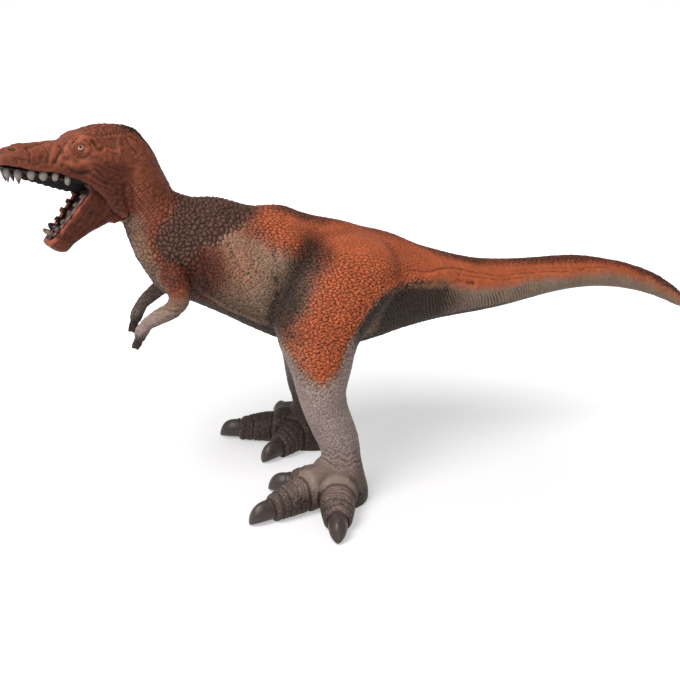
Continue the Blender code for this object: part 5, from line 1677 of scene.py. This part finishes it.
def lid_mesh(centre, radius, out):
    """Upper and lower lid: almond rings that hug the eyeball, with folds outside them."""
    rings = []
    relief = []
    for spread, rise, tone in LID_RINGS:
        ring = []
        for turn in range(LID_SIDES):
            angle = math.tau * turn / LID_SIDES
            across = math.cos(angle)
            upward = math.sin(angle)
            squash = (0.84 if spread < 1.0 else 0.72) if upward > 0.0 else 0.96
            point = 1.0 + 0.16 * max(0.0, abs(across) - 0.7)
            wave = 1.0 + 0.02 * math.sin(5 * angle) + 0.015 * math.sin(9 * angle)
            ring.append(centre + AHEAD * (across * spread * radius * 1.06 * point)
                        + UP * (upward * spread * radius * squash * wave)
                        + out * (radius * rise * (1.0 - 0.10 * abs(across))))
            relief.append(tone * (1.0 + 0.3 * math.sin(7 * angle)))
        rings.append(ring)
    mesh = rings_mesh("lids", rings, closed_ends=False)
    relief = np.array(relief)
    for name in MASKS:
        store(mesh, name, np.full(len(relief), 1.0 if name == "rust" else 0.0))
    mesh.attributes["hollow_paint_and_shade"].data.foreach_set("value", np.clip(-relief, 0, 1).astype(np.float32))
    mesh.attributes["highlight"].data.foreach_set("value", np.clip(relief, 0, 1).astype(np.float32))
    return mesh


# Arms

# Wrinkles round the arm: millimetres below its shoulder joint, and depth
ARM_WRINKLES = ((20.5, 0.24), (23.5, 0.16), (17.5, 0.14), (36.0, 0.2))
ARM_ROUNDS = 50
ARM_PEBBLE = 2.9


class DINOSAUR_OT_arms(bpy.types.Operator):
    """Sculpt and paint the two arms and their finger claws"""
    bl_idname = "dinosaur.arms"
    bl_label = "Arms"

    def execute(self, context):
        sizes = context.scene.dinosaur_sizes
        colours = context.scene.dinosaur_colours
        material = skin_material("arm_vinyl", colours, 1000.0, 0.3)
        for side, word in ((-1, "left"), (1, "right")):
            node = "arm_" + word
            seat = np.array(JOINTS[word + "_shoulder"]["pos_m"]) / METRES
            skin = Skin([node], sizes.fine_voxel)
            out = (skin.places[:, 1] - seat[1]) * side
            buried = out < 0.5
            drop = seat[2] - skin.places[:, 2]
            share = np.where(buried, 0.1, 0.75 - 0.70 * fade(30.0, 35.0, drop))
            skin.places = skin.relaxed(skin.places, ARM_ROUNDS, share)
            drop = seat[2] - skin.places[:, 2]
            edge, _ = pebbles(skin.places, ARM_PEBBLE, 0.85, 101)
            upper = fade(12.0, 2.0, drop + 3.0 * ripple(skin.places, 7.0, 102)) * (out > 0.5)
            skin.relief = upper * 0.85 * (bead(edge, 0.55) - 0.6) \
                + 0.16 * ripple(skin.places, 1.9, 103) + 0.2 * ripple(skin.places, 5.0, 106)
            bend = 2.0 * ripple(skin.places, 6.0, 104)
            for place, depth in ARM_WRINKLES:
                skin.relief -= depth * np.exp(-((drop - place + bend) / 0.8) ** 2)
            skin.emboss()
            skin.find_hollows_and_high_spots()
            masks = skin.masks
            cloud = 2.0 * ripple(skin.places, 6.0, 105)
            masks["rust"] = fade(20.0, 6.0, drop + cloud)
            masks["deep"] = 0.75 * fade(8.0, -2.0, drop + cloud)
            masks["tan"] = fade(10.0, 18.0, drop) * fade(32.0, 22.0, drop) * 0.4
            masks["grey"] = 0.85 * fade(16.0, 30.0, drop + cloud)
            # Dark hands; painted shade on the downward faces and all over the far arm, and the near arm a little
            # darker all over
            low = np.clip(-skin.normals()[:, 2], 0.0, 1.0)
            masks["dark"] = np.clip(0.85 * fade(33.0, 45.0, drop + cloud) + 0.45 * low
                                    + (0.6 if side > 0 else 0.12), 0.0, 0.95)
            add_piece(node + "_skin", skin_mesh(node + "_skin", skin), word + "_arm",
                      material, (node,))
        return {"FINISHED"}


class DINOSAUR_OT_pin(bpy.types.Operator):
    """Finish the steel hinge pin"""
    bl_idname = "dinosaur.pin"
    bl_label = "Hinge pin"

    def execute(self, context):
        pin = frame["nodes"]["jaw_hinge_pin"]
        material = steel_material("drawn_steel")
        for slot in pin.material_slots:
            slot.material = material
        return {"FINISHED"}


# Stage, in metres

SENSOR_WIDTH = 36.0
FLOOR_RADIUS = 12.0
# The floor's own light: the distances from the middle where it starts and ends to rise, and its
# strengths at both
FLOOR_GLOW = (0.10, 0.42, 0.42, 1.0)
LAMP_WIDTH = 0.9
LAMP_PLACE = (-0.75, -0.55, 1.25)
LAMP_TARGET = (-0.02, 0.0, 0.08)


def aim(holder, place, target):
    """Puts a lamp or a camera in its place, turned to its target."""
    holder.location = Vector(place)
    direction = Vector(target) - Vector(place)
    holder.rotation_euler = direction.to_track_quat("-Z", "Y").to_euler()


class DINOSAUR_OT_stage(bpy.types.Operator):
    """Set the pale floor, the soft light and the camera"""
    bl_idname = "dinosaur.stage"
    bl_label = "Stage"

    def execute(self, context):
        stage = context.scene.dinosaur_stage
        make_floor(stage)
        make_light(context, stage)
        camera = bpy.data.cameras.new("camera")
        camera.lens = stage.lens
        camera.sensor_width = SENSOR_WIDTH
        holder = bpy.data.objects.new("camera", camera)
        context.scene.collection.objects.link(holder)
        aim(holder, stage.camera_place, stage.camera_target)
        context.scene.camera = holder
        context.scene.view_settings.view_transform = "Standard"
        return {"FINISHED"}


def make_floor(stage):
    """A wide pale sheet that keeps the object's shadow."""
    working = bmesh.new()
    bmesh.ops.create_circle(working, cap_ends=True, segments=64, radius=FLOOR_RADIUS)
    mesh = bpy.data.meshes.new("floor")
    working.to_mesh(mesh)
    working.free()
    floor = bpy.data.objects.new("floor", mesh)
    bpy.context.scene.collection.objects.link(floor)
    material, tree, shader = new_material("pale_floor")
    grid = own_places(tree)
    cloud = noise_node(tree, 3.0, 2.0, grid)
    darker = tuple(0.985 * value for value in stage.floor)
    white = mix_node(tree, cloud, tuple(stage.floor), darker)
    tree.links.new(white, shader.inputs["Base Color"])
    shader.inputs["Roughness"].default_value = 0.9
    away = place_node(tree, "ShaderNodeVectorMath", {"operation": "LENGTH"},
                      links={0: grid}).outputs["Value"]
    paler = step_node(tree, away, *FLOOR_GLOW)
    rays = place_node(tree, "ShaderNodeLightPath").outputs
    seen = math_node(tree, "MAXIMUM", rays["Is Camera Ray"], rays["Is Glossy Ray"])
    glow = math_node(tree, "MULTIPLY", seen, paler)
    shader.inputs["Emission Color"].default_value = (1.0, 1.0, 1.0, 1.0)
    tree.links.new(glow, shader.inputs["Emission Strength"])
    mesh.materials.append(material)


def make_light(context, stage):
    """One large soft lamp at the upper left and plain light from all round."""
    lamp = bpy.data.lights.new("key", "AREA")
    lamp.shape = "DISK"
    lamp.size = LAMP_WIDTH
    lamp.energy = stage.key_power
    holder = bpy.data.objects.new("key", lamp)
    context.scene.collection.objects.link(holder)
    aim(holder, LAMP_PLACE, LAMP_TARGET)
    world = bpy.data.worlds.new("studio")
    context.scene.world = world
    world.use_nodes = True
    tree = world.node_tree
    background = tree.nodes["Background"]
    background.inputs["Color"].default_value = (1.0, 1.0, 1.0, 1.0)
    rays = place_node(tree, "ShaderNodeLightPath").outputs
    direct = math_node(tree, "MAXIMUM", rays["Is Camera Ray"], rays["Is Transmission Ray"])
    strength = math_node(tree, "ADD", math_node(tree, "MULTIPLY", direct, 1.0 - stage.fill),
                         stage.fill)
    tree.links.new(strength, background.inputs["Strength"])


# Panel and registration

class DINOSAUR_PT_panel(bpy.types.Panel):
    """Lists what the add-on makes"""
    bl_idname = "DINOSAUR_PT_panel"
    bl_label = "Toy dinosaur"
    bl_space_type = "VIEW_3D"
    bl_region_type = "UI"
    bl_category = "Dinosaur"

    def draw(self, context):
        for step in STEPS:
            self.layout.operator(step.bl_idname)
        for group in (context.scene.dinosaur_sizes, context.scene.dinosaur_colours,
                      context.scene.dinosaur_stage):
            for name in group.__annotations__:
                self.layout.prop(group, name)


STEPS = (DINOSAUR_OT_body, DINOSAUR_OT_jaw, DINOSAUR_OT_teeth, DINOSAUR_OT_claws,
         DINOSAUR_OT_eyes, DINOSAUR_OT_arms, DINOSAUR_OT_pin, DINOSAUR_OT_stage)
SETTINGS = (("dinosaur_colours", DinosaurColours), ("dinosaur_sizes", DinosaurSizes),
            ("dinosaur_stage", DinosaurStage))


def register():
    for name, group in SETTINGS:
        bpy.utils.register_class(group)
        setattr(bpy.types.Scene, name, bpy.props.PointerProperty(type=group))
    for step in STEPS:
        bpy.utils.register_class(step)
    bpy.utils.register_class(DINOSAUR_PT_panel)


def unregister():
    bpy.utils.unregister_class(DINOSAUR_PT_panel)
    for step in reversed(STEPS):
        bpy.utils.unregister_class(step)
    for name, group in reversed(SETTINGS):
        delattr(bpy.types.Scene, name)
        bpy.utils.unregister_class(group)


def main():
    register()
    for step in STEPS:
        family, action = step.bl_idname.split(".")
        getattr(getattr(bpy.ops, family), action)()


if __name__ == "__main__":
    main()
